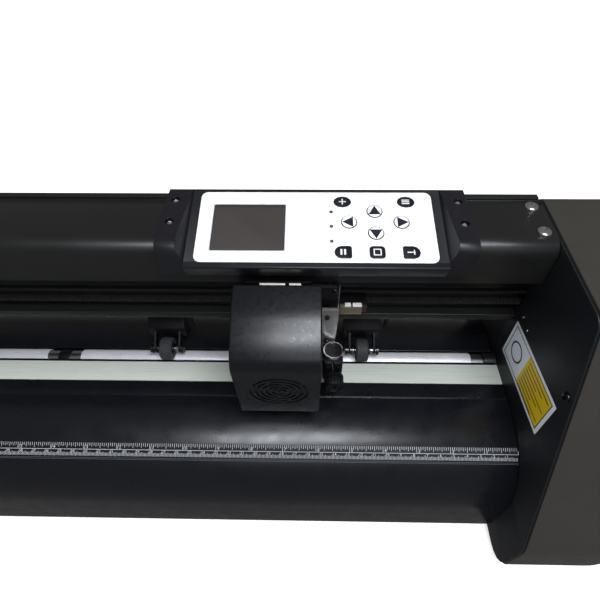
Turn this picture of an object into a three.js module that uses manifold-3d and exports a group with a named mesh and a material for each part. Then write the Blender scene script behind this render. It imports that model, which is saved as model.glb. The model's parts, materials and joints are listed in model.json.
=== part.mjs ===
// Desktop vinyl cutter for 720 mm media: two end housings joined by a platen, a grit feed roller and a
// beam. The tool carriage runs along the beam on a belt. Millimetres, +Z up, the operator stands at -Y.
// The origin is the middle of the footprint, on the surface that the feet stand on.

import * as THREE from 'three';
import { mergeVertices } from 'three/addons/utils/BufferGeometryUtils.js';
import Module from 'manifold-3d';

const wasm = await Module();
wasm.setup();

// ---- Driving dimensions -------------------------------------------------------------------------

const GAP = 0.3; // air between pieces that rest on each other
const HALF_SPAN = 369.5; // middle of the machine to the inner face of a side plate
const HALF_WIDTH = 481.5; // middle of the machine to the outer face of an end cover
const HALF_DEPTH = 105;
const FLOOR = 8; // underside of the end covers, on top of the feet
const TOP = 246; // top of the beam and of the end covers

const PLATE = 1.5; // side plate thickness
const PLATE_INSET = 1; // edge of a side plate below the surface of its end cover
const SEAM = 0.8; // open joint between a side plate and its end cover
const SHELL = 2.5; // wall of the end covers
const COVER_ROLL = 45; // radius that the outer edge of an end cover rolls over with

const MEDIA = 115; // level of the cutting strip
const ROLLER = { y: 34.3, z: 107.5, sleeve: 8, shaft: 7.2, neck: 6 };
const SLEEVE_INNER = 14.5; // the grit sleeves run from here to SLEEVE_OUTER, both halves alike
const SLEEVE_OUTER = 348.5;

const BEAM = { front: 33, back: 87, bottom: 160, wall: 3, recess: 49, nose: 10 };
const FLANGE = { front: 40, top: 168 }; // lower lip of the beam
const RAIL = { x: 366, front: 42.5, bottom: 196, top: 205 };

const BELT = { x: 400, z: 184.4, pitch: 6.4, half: 0.7, front: 43, back: 48 };
const PULLEY = { front: 42, back: 49, flange: 8.2, bore: 2.5 };
const TAB = { front: 51, back: 53, reach: 421, half: 21 }; // bent tab that holds a pulley

const GEAR = { x0: 377, x1: 385, teeth: 40, module: 1.5 };
const PINION = { y: 4.3, z: 85, teeth: 10 };

const PANEL = { x: 214.65, y: 23.5, z: 235.2, tilt: THREE.MathUtils.degToRad(11.8) };
const HOUSING = { x0: 112.5, x1: 316.8, top: 249.5, front: 28.75, lip: 24.2, bottom: 223.5, skin: 3 };
const FACE = { half: 85.3, depth: 64.5 }; // sunken face of the panel
const OVERLAY = { half: 79.1, v0: 4.8, v1: 62.1, thick: 0.5 };
const WINDOW = { u0: -69.1, u1: -20.8, v0: 13.9, v1: 51 };
const KEY_COLUMN = 39.8;
const KEY_PROUD = 1; // top of a key above the sunken face

const CARRIAGE = { x0: 161.2, x1: 218.7, right: 231, plate: 28 };
const TOOL = { x: 229, y: 12, top: 160 };
const KNOB = { x: 230, z: 139.6, radius: 7.4 };

const PINCH = { y: ROLLER.y, z: 125.3, radius: 9.5, half: 5, pivotY: 62, pivotZ: 146, block: 15 };
const PINCH_X = [-270, 92, 255];

const FOOT = { x: 405, y: 70, radius: 12 };

// ---- Materials ----------------------------------------------------------------------------------

const finish = (color, roughness, metalness) => new THREE.MeshStandardMaterial({ color, roughness, metalness });
const HOUSING_GREY = finish(0x403e39, 0.5, 0.1);
const PLATE_BLACK = finish(0x1c1c20, 0.5, 0.2);
const BEAM_BLACK = finish(0x242423, 0.4, 0.3);
const PLATEN_BLACK = finish(0x202226, 0.35, 0.3);
const PLASTIC_BLACK = finish(0x18181a, 0.45, 0);
const STRIP_GREY = finish(0xbec4bc, 0.6, 0);
const GRIT = finish(0xc8c6c8, 0.7, 0.5);
const STEEL = finish(0xb0b2b6, 0.3, 0.9);
const RAIL_BLACK = finish(0x2c2d30, 0.3, 0.8);
const RUBBER = finish(0x2a2a2c, 0.8, 0);
const OVERLAY_WHITE = finish(0xebeef5, 0.4, 0);
const DISPLAY = finish(0x3e3834, 0.2, 0);
const BOARD_GREEN = finish(0x1f5a3a, 0.6, 0);
const BRASS = finish(0xc8b070, 0.4, 0.8);
const MOTOR_GREY = finish(0x55575a, 0.4, 0.6);

// ---- Shape helpers ------------------------------------------------------------------------------

const vec = (x, y, z) => new THREE.Vector3(x, y, z);
const AXIS_FRAME = {
  x: new THREE.Matrix4().makeBasis(vec(0, 1, 0), vec(0, 0, 1), vec(1, 0, 0)),
  y: new THREE.Matrix4().makeBasis(vec(1, 0, 0), vec(0, 0, 1), vec(0, -1, 0)),
  z: new THREE.Matrix4(),
};

// A section drawn in (Y, Z), (X, Z) or (X, Y) and drawn out along the remaining axis.
function extrude(shape, axis, from, to, curveSegments = 12) {
  const geometry = new THREE.ExtrudeGeometry(shape, { depth: to - from, bevelEnabled: false, curveSegments });
  geometry.translate(0, 0, axis === 'y' ? -to : from);
  return geometry.applyMatrix4(AXIS_FRAME[axis]);
}

function box(x0, x1, y0, y1, z0, z1) {
  const geometry = new THREE.BoxGeometry(x1 - x0, y1 - y0, z1 - z0);
  return geometry.translate((x0 + x1) / 2, (y0 + y1) / 2, (z0 + z1) / 2);
}

const disc = (a, b, radius) => new THREE.Shape().absarc(a, b, radius, 0, Math.PI * 2);

function rod(axis, a, b, radius, from, to, curveSegments = 12) {
  return extrude(disc(a, b, radius), axis, from, to, curveSegments);
}

// Points of a closed outline through corners [a, b, radius], the rounded ones as true arcs.
function roundedPoints(corners, steps = 6) {
  const points = [];
  corners.forEach(([a, b, radius = 0], i) => {
    const corner = new THREE.Vector2(a, b);
    const towards = (other) => new THREE.Vector2(other[0], other[1]).sub(corner).normalize();
    const back = towards(corners.at(i - 1));
    const ahead = towards(corners[(i + 1) % corners.length]);
    if (radius === 0) {
      points.push(corner);
      return;
    }
    const half = Math.acos(back.dot(ahead)) / 2;
    const bisector = back.clone().add(ahead).normalize();
    const centre = corner.clone().addScaledVector(bisector, radius / Math.sin(half));
    const start = corner.clone().addScaledVector(back, radius / Math.tan(half)).sub(centre);
    const turn = (Math.PI - 2 * half) * Math.sign(ahead.cross(back));
    for (let step = 0; step <= steps; step += 1) {
      const spoke = start.clone().rotateAround(new THREE.Vector2(), (turn * step) / steps);
      points.push(spoke.add(centre));
    }
  });
  return points;
}

const outline = (corners, steps) => new THREE.Shape(roundedPoints(corners, steps));

function roundedRectangle(a0, b0, a1, b1, radius, steps = 4) {
  return outline([[a0, b0, radius], [a1, b0, radius], [a1, b1, radius], [a0, b1, radius]], steps);
}

function solid(geometry) {
  const bare = geometry.clone();
  bare.deleteAttribute('normal');
  bare.deleteAttribute('uv');
  const merged = mergeVertices(bare, 1e-4);
  const vertProperties = new Float32Array(merged.attributes.position.array);
  const triVerts = new Uint32Array(merged.index.array);
  return new wasm.Manifold(new wasm.Mesh({ numProp: 3, vertProperties, triVerts }));
}

function toGeometry(manifold) {
  const { vertProperties, triVerts } = manifold.getMesh();
  const geometry = new THREE.BufferGeometry();
  geometry.setAttribute('position', new THREE.BufferAttribute(vertProperties, 3));
  geometry.setIndex(new THREE.BufferAttribute(triVerts, 1));
  geometry.computeVertexNormals();
  return geometry;
}

const join = (...geometries) => toGeometry(geometries.map(solid).reduce((all, next) => all.add(next)));

function cut(geometry, ...tools) {
  return toGeometry(tools.map(solid).reduce((left, tool) => left.subtract(tool), solid(geometry)));
}

// The same piece for the other end of the machine.
function mirrored(geometry) {
  const copy = geometry.clone().scale(-1, 1, 1);
  const index = copy.index.array;
  for (let i = 0; i < index.length; i += 3) {
    [index[i], index[i + 1]] = [index[i + 1], index[i]];
  }
  copy.computeVertexNormals();
  return copy;
}

function piece(name, geometry, material) {
  const mesh = new THREE.Mesh(geometry, material);
  mesh.name = name;
  return mesh;
}

// A solid through rings of equal length, one for each station [x, ring], closed by flat ends.
function loft(stations) {
  const count = stations[0][1].length;
  const positions = stations.flatMap(([x, ring]) => ring.flatMap((point) => [x, point.x, point.y]));
  const index = [];
  for (let s = 0; s < stations.length - 1; s += 1) {
    for (let i = 0; i < count; i += 1) {
      const a = s * count + i;
      const b = s * count + ((i + 1) % count);
      index.push(a, b, b + count, a, b + count, a + count);
    }
  }
  const closeEnd = (station, outward) => {
    const [x, ring] = stations[station];
    const centre = ring.reduce((sum, point) => sum.add(point), new THREE.Vector2()).divideScalar(count);
    const hub = positions.length / 3;
    positions.push(x, centre.x, centre.y);
    for (let i = 0; i < count; i += 1) {
      const pair = [station * count + i, station * count + ((i + 1) % count)];
      index.push(hub, pair[1 - outward], pair[outward]);
    }
  };
  closeEnd(0, 0);
  closeEnd(stations.length - 1, 1);
  const geometry = new THREE.BufferGeometry();
  geometry.setAttribute('position', new THREE.Float32BufferAttribute(positions, 3));
  geometry.setIndex(index);
  return geometry;
}

// ---- Housings and frame -------------------------------------------------------------------------

// Side view of the machine in (Y, Z): a leaning front with a low nose, a flat top and a raked back.
const SIDE_CORNERS = [
  [-HALF_DEPTH, FLOOR, 18],
  [HALF_DEPTH, FLOOR, 10],
  [HALF_DEPTH, 100, 60],
  [88.5, TOP, 13],
  [-23.9, TOP, 9],
  [-HALF_DEPTH, 66, 40],
];

// The side view drawn in by the inset on every side, and by rolled more at the front, back and top.
function sideRing(inset, rolled = 0) {
  return roundedPoints(SIDE_CORNERS, 4).map((point) => new THREE.Vector2(
    (point.x * (HALF_DEPTH - inset - rolled)) / HALF_DEPTH,
    FLOOR + inset + ((point.y - FLOOR) * (TOP - FLOOR - 2 * inset - rolled)) / (TOP - FLOOR),
  ));
}

function endCoverBody(inset) {
  const length = HALF_WIDTH - HALF_SPAN - PLATE - SEAM - inset;
  const start = HALF_SPAN + PLATE + SEAM;
  const stations = [[start - inset, sideRing(inset)]];
  const rollSteps = 6;
  for (let step = 0; step <= rollSteps; step += 1) {
    const angle = (step / rollSteps) * (Math.PI / 2);
    const x = start + length - COVER_ROLL + COVER_ROLL * Math.sin(angle);
    stations.push([x, sideRing(inset, COVER_ROLL * (1 - Math.cos(angle)))]);
  }
  return loft(stations);
}

const PORTS = {
  usb: { y: -30, z: 74, halfY: 6, halfZ: 5.5 },
  serial: { y: 4, z: 74, halfY: 15.5, halfZ: 6.5 },
};
const INLET = { y: 20, z: 74, halfY: 13.8, halfZ: 23.8, face: 479.5 };

function portHole({ y, z, halfY, halfZ }, margin) {
  return box(HALF_WIDTH - 12, HALF_WIDTH + 5, y - halfY - margin, y + halfY + margin, z - halfZ - margin,
    z + halfZ + margin);
}

function endCover(side) {
  const holes = side === 'right' ? [portHole(PORTS.usb, 0.5), portHole(PORTS.serial, 0.5)]
    : [portHole(INLET, GAP)];
  const shell = cut(endCoverBody(0), endCoverBody(SHELL), ...holes);
  return piece(`${side}_end_cover`, side === 'right' ? shell : mirrored(shell), HOUSING_GREY);
}

// Side plate: carries the roller bearing and, on a bent tab, the belt pulley. The right one also has the
// hole for the shaft of the feed motor, the left one the pin of the idler pulley.
function sidePlate(side) {
  const outer = HALF_SPAN + PLATE;
  const sheet = extrude(new THREE.Shape(sideRing(PLATE_INSET)), 'x', HALF_SPAN, outer);
  const tab = box(outer - 0.5, TAB.reach, TAB.front, TAB.back, BELT.z - TAB.half, BELT.z + TAB.half);
  const collar = rod('x', ROLLER.y, ROLLER.z, ROLLER.sleeve, HALF_SPAN - 10, outer - 0.5);
  const shaftHole = rod('x', ROLLER.y, ROLLER.z, ROLLER.neck + GAP, HALF_SPAN - 12, outer + 2);
  const beltSlot = extrude(roundedRectangle(41.5, BELT.z - 9.4, 50, BELT.z + 9.4, 3), 'x', HALF_SPAN - 2, outer + 2);
  let body;
  if (side === 'right') {
    const motorHole = rod('x', PINION.y, PINION.z, 4, HALF_SPAN - 2, outer + 2);
    const pulleyHole = rod('y', BELT.x, BELT.z, 4, TAB.front - 2, TAB.back + 2);
    body = cut(join(sheet, tab, collar), shaftHole, beltSlot, motorHole, pulleyHole);
  } else {
    const pin = rod('y', BELT.x, BELT.z, PULLEY.bore, PULLEY.front - 1.5, TAB.front + 1, 8);
    body = mirrored(cut(join(sheet, tab, collar, pin), shaftHole, beltSlot));
  }
  return piece(`${side}_side_plate`, body, PLATE_BLACK);
}

// Beam section in (Y, Z): a hollow box at the back and a nose that overhangs the recess of the rail.
function mainBeam() {
  const { front, back, bottom, wall, recess, nose } = BEAM;
  const channelFront = 75;
  const channelBack = 82;
  const shape = outline([
    [front, 212], [front + wall, 212], [front + wall, TOP - wall, nose - wall], [recess, TOP - wall],
    [recess, FLANGE.top], [FLANGE.front, FLANGE.top], [FLANGE.front, bottom, 2], [back, bottom, 2],
    [back, TOP, 1], [channelBack, TOP], [channelBack, TOP - 2], [channelFront, TOP - 2],
    [channelFront, TOP], [front, TOP, nose],
  ], 6);
  shape.holes.push(new THREE.Path(roundedPoints([
    [recess + wall, bottom + wall], [back - wall, bottom + wall],
    [back - wall, TOP - wall - 2], [recess + wall, TOP - wall - 2],
  ])));
  const bar = extrude(shape, 'x', GAP - HALF_SPAN, HALF_SPAN - GAP);
  const panelWell = box(121.5, 307.8, front - 5, 83, 229, TOP + 5);
  return piece('main_beam', cut(bar, panelWell), BEAM_BLACK);
}

function guideRail() {
  const { x, front, bottom, top } = RAIL;
  const back = BEAM.recess - GAP;
  const waist = 1.2;
  const shape = outline([
    [front, bottom], [front + 1.6, bottom], [front + 2.8, bottom + waist], [front + 4, bottom],
    [back, bottom], [back, top], [front + 4, top], [front + 2.8, top - waist], [front + 1.6, top], [front, top],
  ]);
  return piece('guide_rail', extrude(shape, 'x', -x, x), RAIL_BLACK);
}

// Front platen: the flat bed under the cutting strip, rolling over into the upright apron.
function frontPlaten() {
  const sheet = 2.5;
  const ledge = MEDIA - 2.3;
  const bend = { y: -17, z: MEDIA - 55, radius: 55 };
  const face = bend.y - bend.radius;
  const foot = 12;
  const shape = outline([
    [26.2, ledge], [9.2, ledge], [9.2, MEDIA], [-3.5, MEDIA], [-3.5, MEDIA - 0.8], [-4.5, MEDIA - 0.8],
    [-4.5, MEDIA], [face, MEDIA, bend.radius], [face, foot], [-45, foot], [-45, foot + sheet],
    [face + sheet, foot + sheet], [face + sheet, MEDIA - sheet, bend.radius - sheet],
    [6.7, MEDIA - sheet], [6.7, ledge - sheet], [26.2, ledge - sheet],
  ], 12);
  return piece('front_platen', extrude(shape, 'x', GAP - HALF_SPAN, HALF_SPAN - GAP), PLATEN_BLACK);
}

function rearPlaten() {
  const sheet = 2.3;
  const top = MEDIA - 2.5;
  const radius = 35;
  const back = 97;
  const foot = 12;
  const shape = outline([
    [42.4, top], [42.4, top - sheet], [back - sheet, top - sheet, radius - sheet],
    [back - sheet, foot + sheet], [80, foot + sheet], [80, foot], [back, foot], [back, top, radius],
  ], 8);
  return piece('rear_platen', extrude(shape, 'x', GAP - HALF_SPAN, HALF_SPAN - GAP), PLATEN_BLACK);
}

function cuttingStrip() {
  return piece('cutting_strip', box(GAP - HALF_SPAN, HALF_SPAN - GAP, 9.5, 27.6, MEDIA - 2, MEDIA), STRIP_GREY);
}

function basePan() {
  const shape = outline([[-71.5, 9.5], [96.5, 9.5], [96.5, 11.7], [-71.5, 11.7]]);
  return piece('base_pan', extrude(shape, 'x', 1 - HALF_SPAN, HALF_SPAN - 1), PLATE_BLACK);
}

function foot(name, x, y) {
  const { radius } = FOOT;
  const height = FLOOR - GAP;
  const profile = [[0, 0], [radius - 1.5, 0], [radius, 1.5], [radius - 1, height], [0, height]];
  const geometry = new THREE.LatheGeometry(profile.map(([r, z]) => new THREE.Vector2(r, z)), 16);
  const mesh = piece(name, geometry.rotateX(Math.PI / 2), RUBBER);
  mesh.position.set(x, y, 0);
  return mesh;
}

// ---- Media feed ---------------------------------------------------------------------------------

function feedShaft() {
  const { y, z, shaft, neck } = ROLLER;
  const shoulder = HALF_SPAN - 10.5;
  return piece('feed_shaft', join(
    rod('x', y, z, shaft, -shoulder, shoulder),
    rod('x', y, z, neck, shoulder - 1, 390),
    rod('x', y, z, neck, -HALF_SPAN - 8, 1 - shoulder),
  ), STEEL);
}

function gritSleeve(side) {
  const ring = disc(ROLLER.y, ROLLER.z, ROLLER.sleeve);
  ring.holes.push(new THREE.Path().absarc(ROLLER.y, ROLLER.z, ROLLER.shaft + GAP, 0, Math.PI * 2));
  const ends = side === 'right' ? [SLEEVE_INNER, SLEEVE_OUTER] : [-SLEEVE_OUTER, -SLEEVE_INNER];
  return piece(`grit_sleeve_${side}`, extrude(ring, 'x', ...ends, 10), GRIT);
}

// Toothed outline about (y, z); a tooth points along the angle given.
function toothedOutline(y, z, teeth, module, pointing) {
  const pitchAngle = (Math.PI * 2) / teeth;
  const root = (teeth / 2 - 1.25) * module;
  const tip = (teeth / 2 + 0.85) * module;
  const points = [];
  for (let tooth = 0; tooth < teeth; tooth += 1) {
    const centre = pointing + tooth * pitchAngle;
    for (const [share, radius] of [[-0.33, root], [-0.11, tip], [0.11, tip], [0.33, root]]) {
      const angle = centre + share * pitchAngle;
      points.push(new THREE.Vector2(y + radius * Math.cos(angle), z + radius * Math.sin(angle)));
    }
  }
  return new THREE.Shape(points);
}

const MESH_ANGLE = Math.atan2(PINION.z - ROLLER.z, PINION.y - ROLLER.y);

function feedGear() {
  const shape = toothedOutline(ROLLER.y, ROLLER.z, GEAR.teeth, GEAR.module, MESH_ANGLE);
  shape.holes.push(new THREE.Path().absarc(ROLLER.y, ROLLER.z, ROLLER.neck + GAP, 0, Math.PI * 2));
  return piece('feed_gear', extrude(shape, 'x', GEAR.x0, GEAR.x1), PLASTIC_BLACK);
}

function feedPinion() {
  const halfTooth = Math.PI / PINION.teeth;
  const pointing = MESH_ANGLE + Math.PI + halfTooth;
  const shape = toothedOutline(PINION.y, PINION.z, PINION.teeth, GEAR.module, pointing);
  shape.holes.push(new THREE.Path().absarc(PINION.y, PINION.z, 2.5 + GAP, 0, Math.PI * 2));
  return piece('feed_pinion', extrude(shape, 'x', GEAR.x0 - 1, GEAR.x1 + 1, 8), BRASS);
}

function feedMotor() {
  const { y, z } = PINION;
  const end = HALF_SPAN - GAP;
  return piece('feed_motor', join(
    extrude(roundedRectangle(y - 20.5, z - 20.5, y + 20.5, z + 20.5, 4), 'x', end - 44, end),
    rod('x', y, z, 2.5, end - 1, GEAR.x1 + 2, 8),
  ), MOTOR_GREY);
}

// Cradle that carries the roller shaft from below in the middle of the machine.
function centreSupport() {
  const post = box(-4.8, 4.8, 26.6, 42, FLOOR + 4.2, ROLLER.z - 3);
  const bore = rod('x', ROLLER.y, ROLLER.z, ROLLER.shaft + GAP, -6, 6);
  const bushTop = extrude(disc(ROLLER.y, ROLLER.z, ROLLER.sleeve), 'x', -4.8, 4.8);
  return piece('centre_support', cut(join(post, bushTop), bore), PLASTIC_BLACK);
}

// ---- Pinch roller assemblies --------------------------------------------------------------------

// Bracket that slides along the foot of the beam: a saddle hooked behind it, the lug of the pivot and a stop pin.
function pinchBracket(name, x) {
  const { block, pivotY, pivotZ } = PINCH;
  const under = BEAM.bottom - GAP;
  const hook = BEAM.back + GAP;
  const saddle = outline([
    [46, under], [46, 155.5, 1], [90, 155.5], [90, 166], [hook, 166], [hook, under],
  ], 2);
  const lug = outline([[56, 157], [56, 139.5, 5.5], [68, 139.5, 5.5], [68, 157]], 4);
  const geometry = join(
    extrude(saddle, 'x', -block, block + 8),
    extrude(lug, 'x', -4, 4),
    rod('z', block + 5, 52, 1.6, 135, 157, 8),
    rod('x', pivotY, pivotZ, 2, -9, 9, 8),
  );
  const mesh = piece(name, geometry, PLASTIC_BLACK);
  mesh.position.x = x;
  return mesh;
}

// Forked arm: a block round the lug, two cheeks down to the axle of the wheel, and a lever behind.
function pinchArm(name, x) {
  const { y, z, block, pivotY, pivotZ } = PINCH;
  const body = outline([
    [44.8, 128, 0.8], [58, 131, 3], [74, 142, 3], [74, 151, 1], [56, 151, 3], [44.8, 139, 2],
  ], 2);
  const cheek = outline([[y - 5.6, z + 0.4, 3.9], [y + 0.6, z - 5.4, 3.9], [49, 129], [47, 137]], 4);
  const lever = outline([[70, 145], [84, 145, 6], [100, 137, 2], [102, 140.5, 2], [86, 151, 8], [70, 151]], 4);
  const geometry = cut(
    join(
      extrude(body, 'x', -block, block),
      extrude(cheek, 'x', -11, -9.4),
      extrude(cheek, 'x', 9.4, 11),
      extrude(lever, 'x', -6, 6),
    ),
    rod('x', pivotY, pivotZ, 2 + GAP, -9.5, 9.5, 8),
    rod('x', y, z, 2.5 + GAP, -20, 20, 8),
    box(-4.5, 4.5, 52, 74.5, 130, 160),
  );
  const mesh = piece(name, geometry, PLASTIC_BLACK);
  mesh.position.x = x;
  return mesh;
}

function pinchWheel(name, x) {
  const { y, z, radius, half } = PINCH;
  const profile = [[0, -14], [4, -14], [4, -11.6], [2.5, -11.6], [2.5, -half], [8.3, -half], [radius, 1.2 - half],
    [radius, half - 1.2], [8.3, half], [2.5, half], [2.5, 11.6], [4, 11.6], [4, 14], [0, 14]];
  const geometry = new THREE.LatheGeometry(profile.map(([r, a]) => new THREE.Vector2(r, a)), 20);
  const mesh = piece(name, geometry.rotateZ(-Math.PI / 2), RUBBER);
  mesh.position.set(x, y, z);
  return mesh;
}

// ---- Belt drive ---------------------------------------------------------------------------------

function stadium(radius) {
  return [Math.PI / 2, -Math.PI / 2].flatMap((first, end) => {
    const centreX = end === 0 ? -BELT.x : BELT.x;
    return Array.from({ length: 13 }, (_, i) => {
      const angle = first + (i / 12) * Math.PI;
      return new THREE.Vector2(centreX + radius * Math.cos(angle), BELT.z + radius * Math.sin(angle));
    });
  });
}

function driveBelt() {
  const shape = new THREE.Shape(stadium(BELT.pitch + BELT.half));
  shape.holes.push(new THREE.Path(stadium(BELT.pitch - BELT.half)));
  return piece('drive_belt', extrude(shape, 'y', BELT.front, BELT.back), RUBBER);
}

function pulley(name, x) {
  const { front, back, flange } = PULLEY;
  const hub = BELT.pitch - BELT.half - GAP;
  const bore = PULLEY.bore + GAP;
  const profile = [[bore, front], [flange, front], [flange, BELT.front - GAP], [hub, BELT.front - GAP],
    [hub, BELT.back + GAP], [flange, BELT.back + GAP], [flange, back], [bore, back], [bore, front]];
  const geometry = new THREE.LatheGeometry(profile.map(([r, a]) => new THREE.Vector2(r, a)), 16);
  const mesh = piece(name, geometry, STEEL);
  mesh.position.set(x, 0, BELT.z);
  return mesh;
}

function carriageMotor() {
  const front = TAB.back + GAP;
  return piece('carriage_motor', join(
    extrude(roundedRectangle(BELT.x - 20.5, BELT.z - 20.5, BELT.x + 20.5, BELT.z + 20.5, 4), 'y', front, 88),
    rod('y', BELT.x, BELT.z, PULLEY.bore, PULLEY.front - 1.5, front + 1, 8),
  ), MOTOR_GREY);
}

// ---- Carriage -----------------------------------------------------------------------------------

// Bearing block that wraps the rail, with the pad that the carriage plate is screwed to.
function slideBlock() {
  const { front, bottom, top } = RAIL;
  const block = box(168, 226, 39, BEAM.recess - GAP, 192.5, 210.5);
  const pad = box(174, 220, CARRIAGE.plate + 3 + GAP, 40, 194, 209);
  const channel = box(160, 240, front - GAP, 52, bottom - GAP, top + GAP);
  return piece('slide_block', cut(join(block, pad), channel), STEEL);
}

function carriagePlate() {
  const shape = outline([[163, 172, 2], [CARRIAGE.right, 172, 2], [CARRIAGE.right, 213, 2], [163, 213, 2]], 3);
  return piece('carriage_plate', extrude(shape, 'y', CARRIAGE.plate, CARRIAGE.plate + 3), PLASTIC_BLACK);
}

// Front line of the cover in (Y, Z), from the top edge over the brow and down to the hem.
const COVER_FRONT = [[17, 227.5], [-2.5, 221.3, 60], [-19, 213.5, 60], [-31, 203.5, 14], [-26, 134.7]];
const COVER_BACK = [[18, 131, 3], [21, 140], [21, 165, 4], [27.7, 173, 2], [27.7, 213], [21, 222]];

function carriageCover() {
  const wall = 2.4;
  const full = extrude(outline([...COVER_FRONT, ...COVER_BACK], 4), 'x', CARRIAGE.x0, CARRIAGE.x1);
  const inner = outline([
    [30, 223], [17, 225], [-2.5, 218.8, 58], [-18, 211.4, 58], [-28.4, 202.5, 11], [-23, 128], [30, 128],
  ], 4);
  return piece('carriage_cover', cut(full, extrude(inner, 'x', CARRIAGE.x0 + wall, CARRIAGE.x1 - wall)),
    PLASTIC_BLACK);
}

// Small board on the carriage plate with the plug-in connectors of the tool coil.
function carriageBoard() {
  return piece('carriage_board', join(
    box(168, 212, 24.8, 26.4, 207, 221),
    box(170, 194, 18.6, 25, 213.5, 220),
    box(198, 209, 18.6, 25, 213.5, 220),
    box(172, 176, 26, CARRIAGE.plate - GAP, 208, 212),
    box(204, 208, 26, CARRIAGE.plate - GAP, 208, 212),
  ), BOARD_GREEN);
}

function liftSolenoid() {
  return piece('lift_solenoid', join(
    box(174, 206, 2, CARRIAGE.plate - GAP, 176, 204),
    rod('z', 190, 13, 9, 150, 177),
    rod('z', 190, 13, 3, 140, 151, 8),
  ), STEEL);
}

// Steel angle and clamp that carry the blade holder up and down.
function toolSlide() {
  const { x, y } = TOOL;
  const clamp = extrude(roundedRectangle(x - 7.4, y - 9.5, x + 7.4, y + 8.6, 3), 'z', 131, 156);
  const upright = box(219.2, 232, 20.8, 23.2, 154, 196.7);
  const web = box(219.5, 232, 17, 23.2, 140.5, 155);
  const stud = rod('y', KNOB.x, KNOB.z, 2.2, -6, y - 6, 8);
  return piece('tool_slide', cut(join(clamp, upright, web, stud), rod('z', x, y, 6 + GAP, 120, 160, 10)), STEEL);
}

// Thumb screw that tightens the clamp round the blade holder, with a scalloped grip.
function clampKnob() {
  const shape = new THREE.Shape(Array.from({ length: 48 }, (_, i) => {
    const angle = (i / 48) * Math.PI * 2;
    const radius = KNOB.radius - (i % 3 === 0 ? 0.6 : 0);
    return new THREE.Vector2(KNOB.x + radius * Math.cos(angle), KNOB.z + radius * Math.sin(angle));
  }));
  const grip = extrude(shape, 'y', -9, 2);
  const bore = rod('y', KNOB.x, KNOB.z, 2.5, -6.3, 3, 8);
  return piece('clamp_knob', cut(grip, bore), PLASTIC_BLACK);
}

function bladeHolder() {
  const profile = [[0, 118], [0.6, 118], [0.8, 120.5], [3.4, 122], [4.6, 126], [6, 128], [6, 156.5], [7.7, 156.5],
    [7.7, 159.3], [7.2, TOOL.top], [6.6, TOOL.top], [6.6, 159], [0, 159]];
  const geometry = new THREE.LatheGeometry(profile.map(([r, z]) => new THREE.Vector2(r, z)), 16);
  const mesh = piece('blade_holder', geometry.rotateX(Math.PI / 2), STEEL);
  mesh.position.set(TOOL.x, TOOL.y, 0);
  return mesh;
}

// Brass block that grips the lower run of the belt, screwed to the back of the carriage plate.
function beltClamp() {
  const strand = BELT.z - BELT.pitch;
  const low = 174.7;
  const high = 183;
  const face = box(233.5, 250, 34, 37, low, high + 1.6);
  const block = box(234, 254, 36, BELT.back + 0.6, low, high - 1.8);
  const lug = box(215, 236, CARRIAGE.plate + 3 + GAP, 38, low, high);
  const slot = box(230, 256, BELT.front - 0.5, BELT.back + 2, strand - 1.1, strand + 1.1);
  return piece('belt_clamp', cut(join(face, block, lug), slot), BRASS);
}

// ---- Control panel ------------------------------------------------------------------------------

const KEYS = [
  ['key_upper_left', 'oval', -21.6, 53.9],
  ['key_upper_right', 'oval', 21.8, 53.9],
  ['key_up', 'round', 0, 45.8],
  ['key_left', 'round', -17.5, 36.8],
  ['key_right', 'round', 17.5, 36.8],
  ['key_down', 'round', 0, 27.9],
  ['key_lower_left', 'leftD', -22.1, 12.8],
  ['key_lower_middle', 'square', 0, 12.8],
  ['key_lower_right', 'rightD', 22.1, 12.8],
];

// Outline of a key, grown by the margin given.
function keyShape(kind, u, v, margin = 0) {
  const flat = (half, leftRadius, rightRadius) => outline([
    [u - half - margin, v - 4.6 - margin, leftRadius + margin],
    [u + half + margin, v - 4.6 - margin, rightRadius + margin],
    [u + half + margin, v + 4.6 + margin, rightRadius + margin],
    [u - half - margin, v + 4.6 + margin, leftRadius + margin],
  ], 3);
  if (kind === 'round') {
    return disc(u, v, 5.3 + margin);
  }
  if (kind === 'oval') {
    return new THREE.Shape().absellipse(u, v, 5.9 + margin, 4.6 + margin, 0, Math.PI * 2);
  }
  return { leftD: flat(5.4, 4.4, 1.2), rightD: flat(5.4, 1.2, 4.4), square: flat(4.9, 2.2, 2.2) }[kind];
}

const keyHoles = (from, to) => KEYS.map(([, kind, du, v]) => (
  extrude(keyShape(kind, KEY_COLUMN + du, v, GAP), 'z', from, to, 6)
));

function panelFrame() {
  const group = new THREE.Group();
  group.position.set(PANEL.x, PANEL.y, PANEL.z);
  group.rotation.x = PANEL.tilt;
  group.updateMatrix();
  return group;
}

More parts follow.
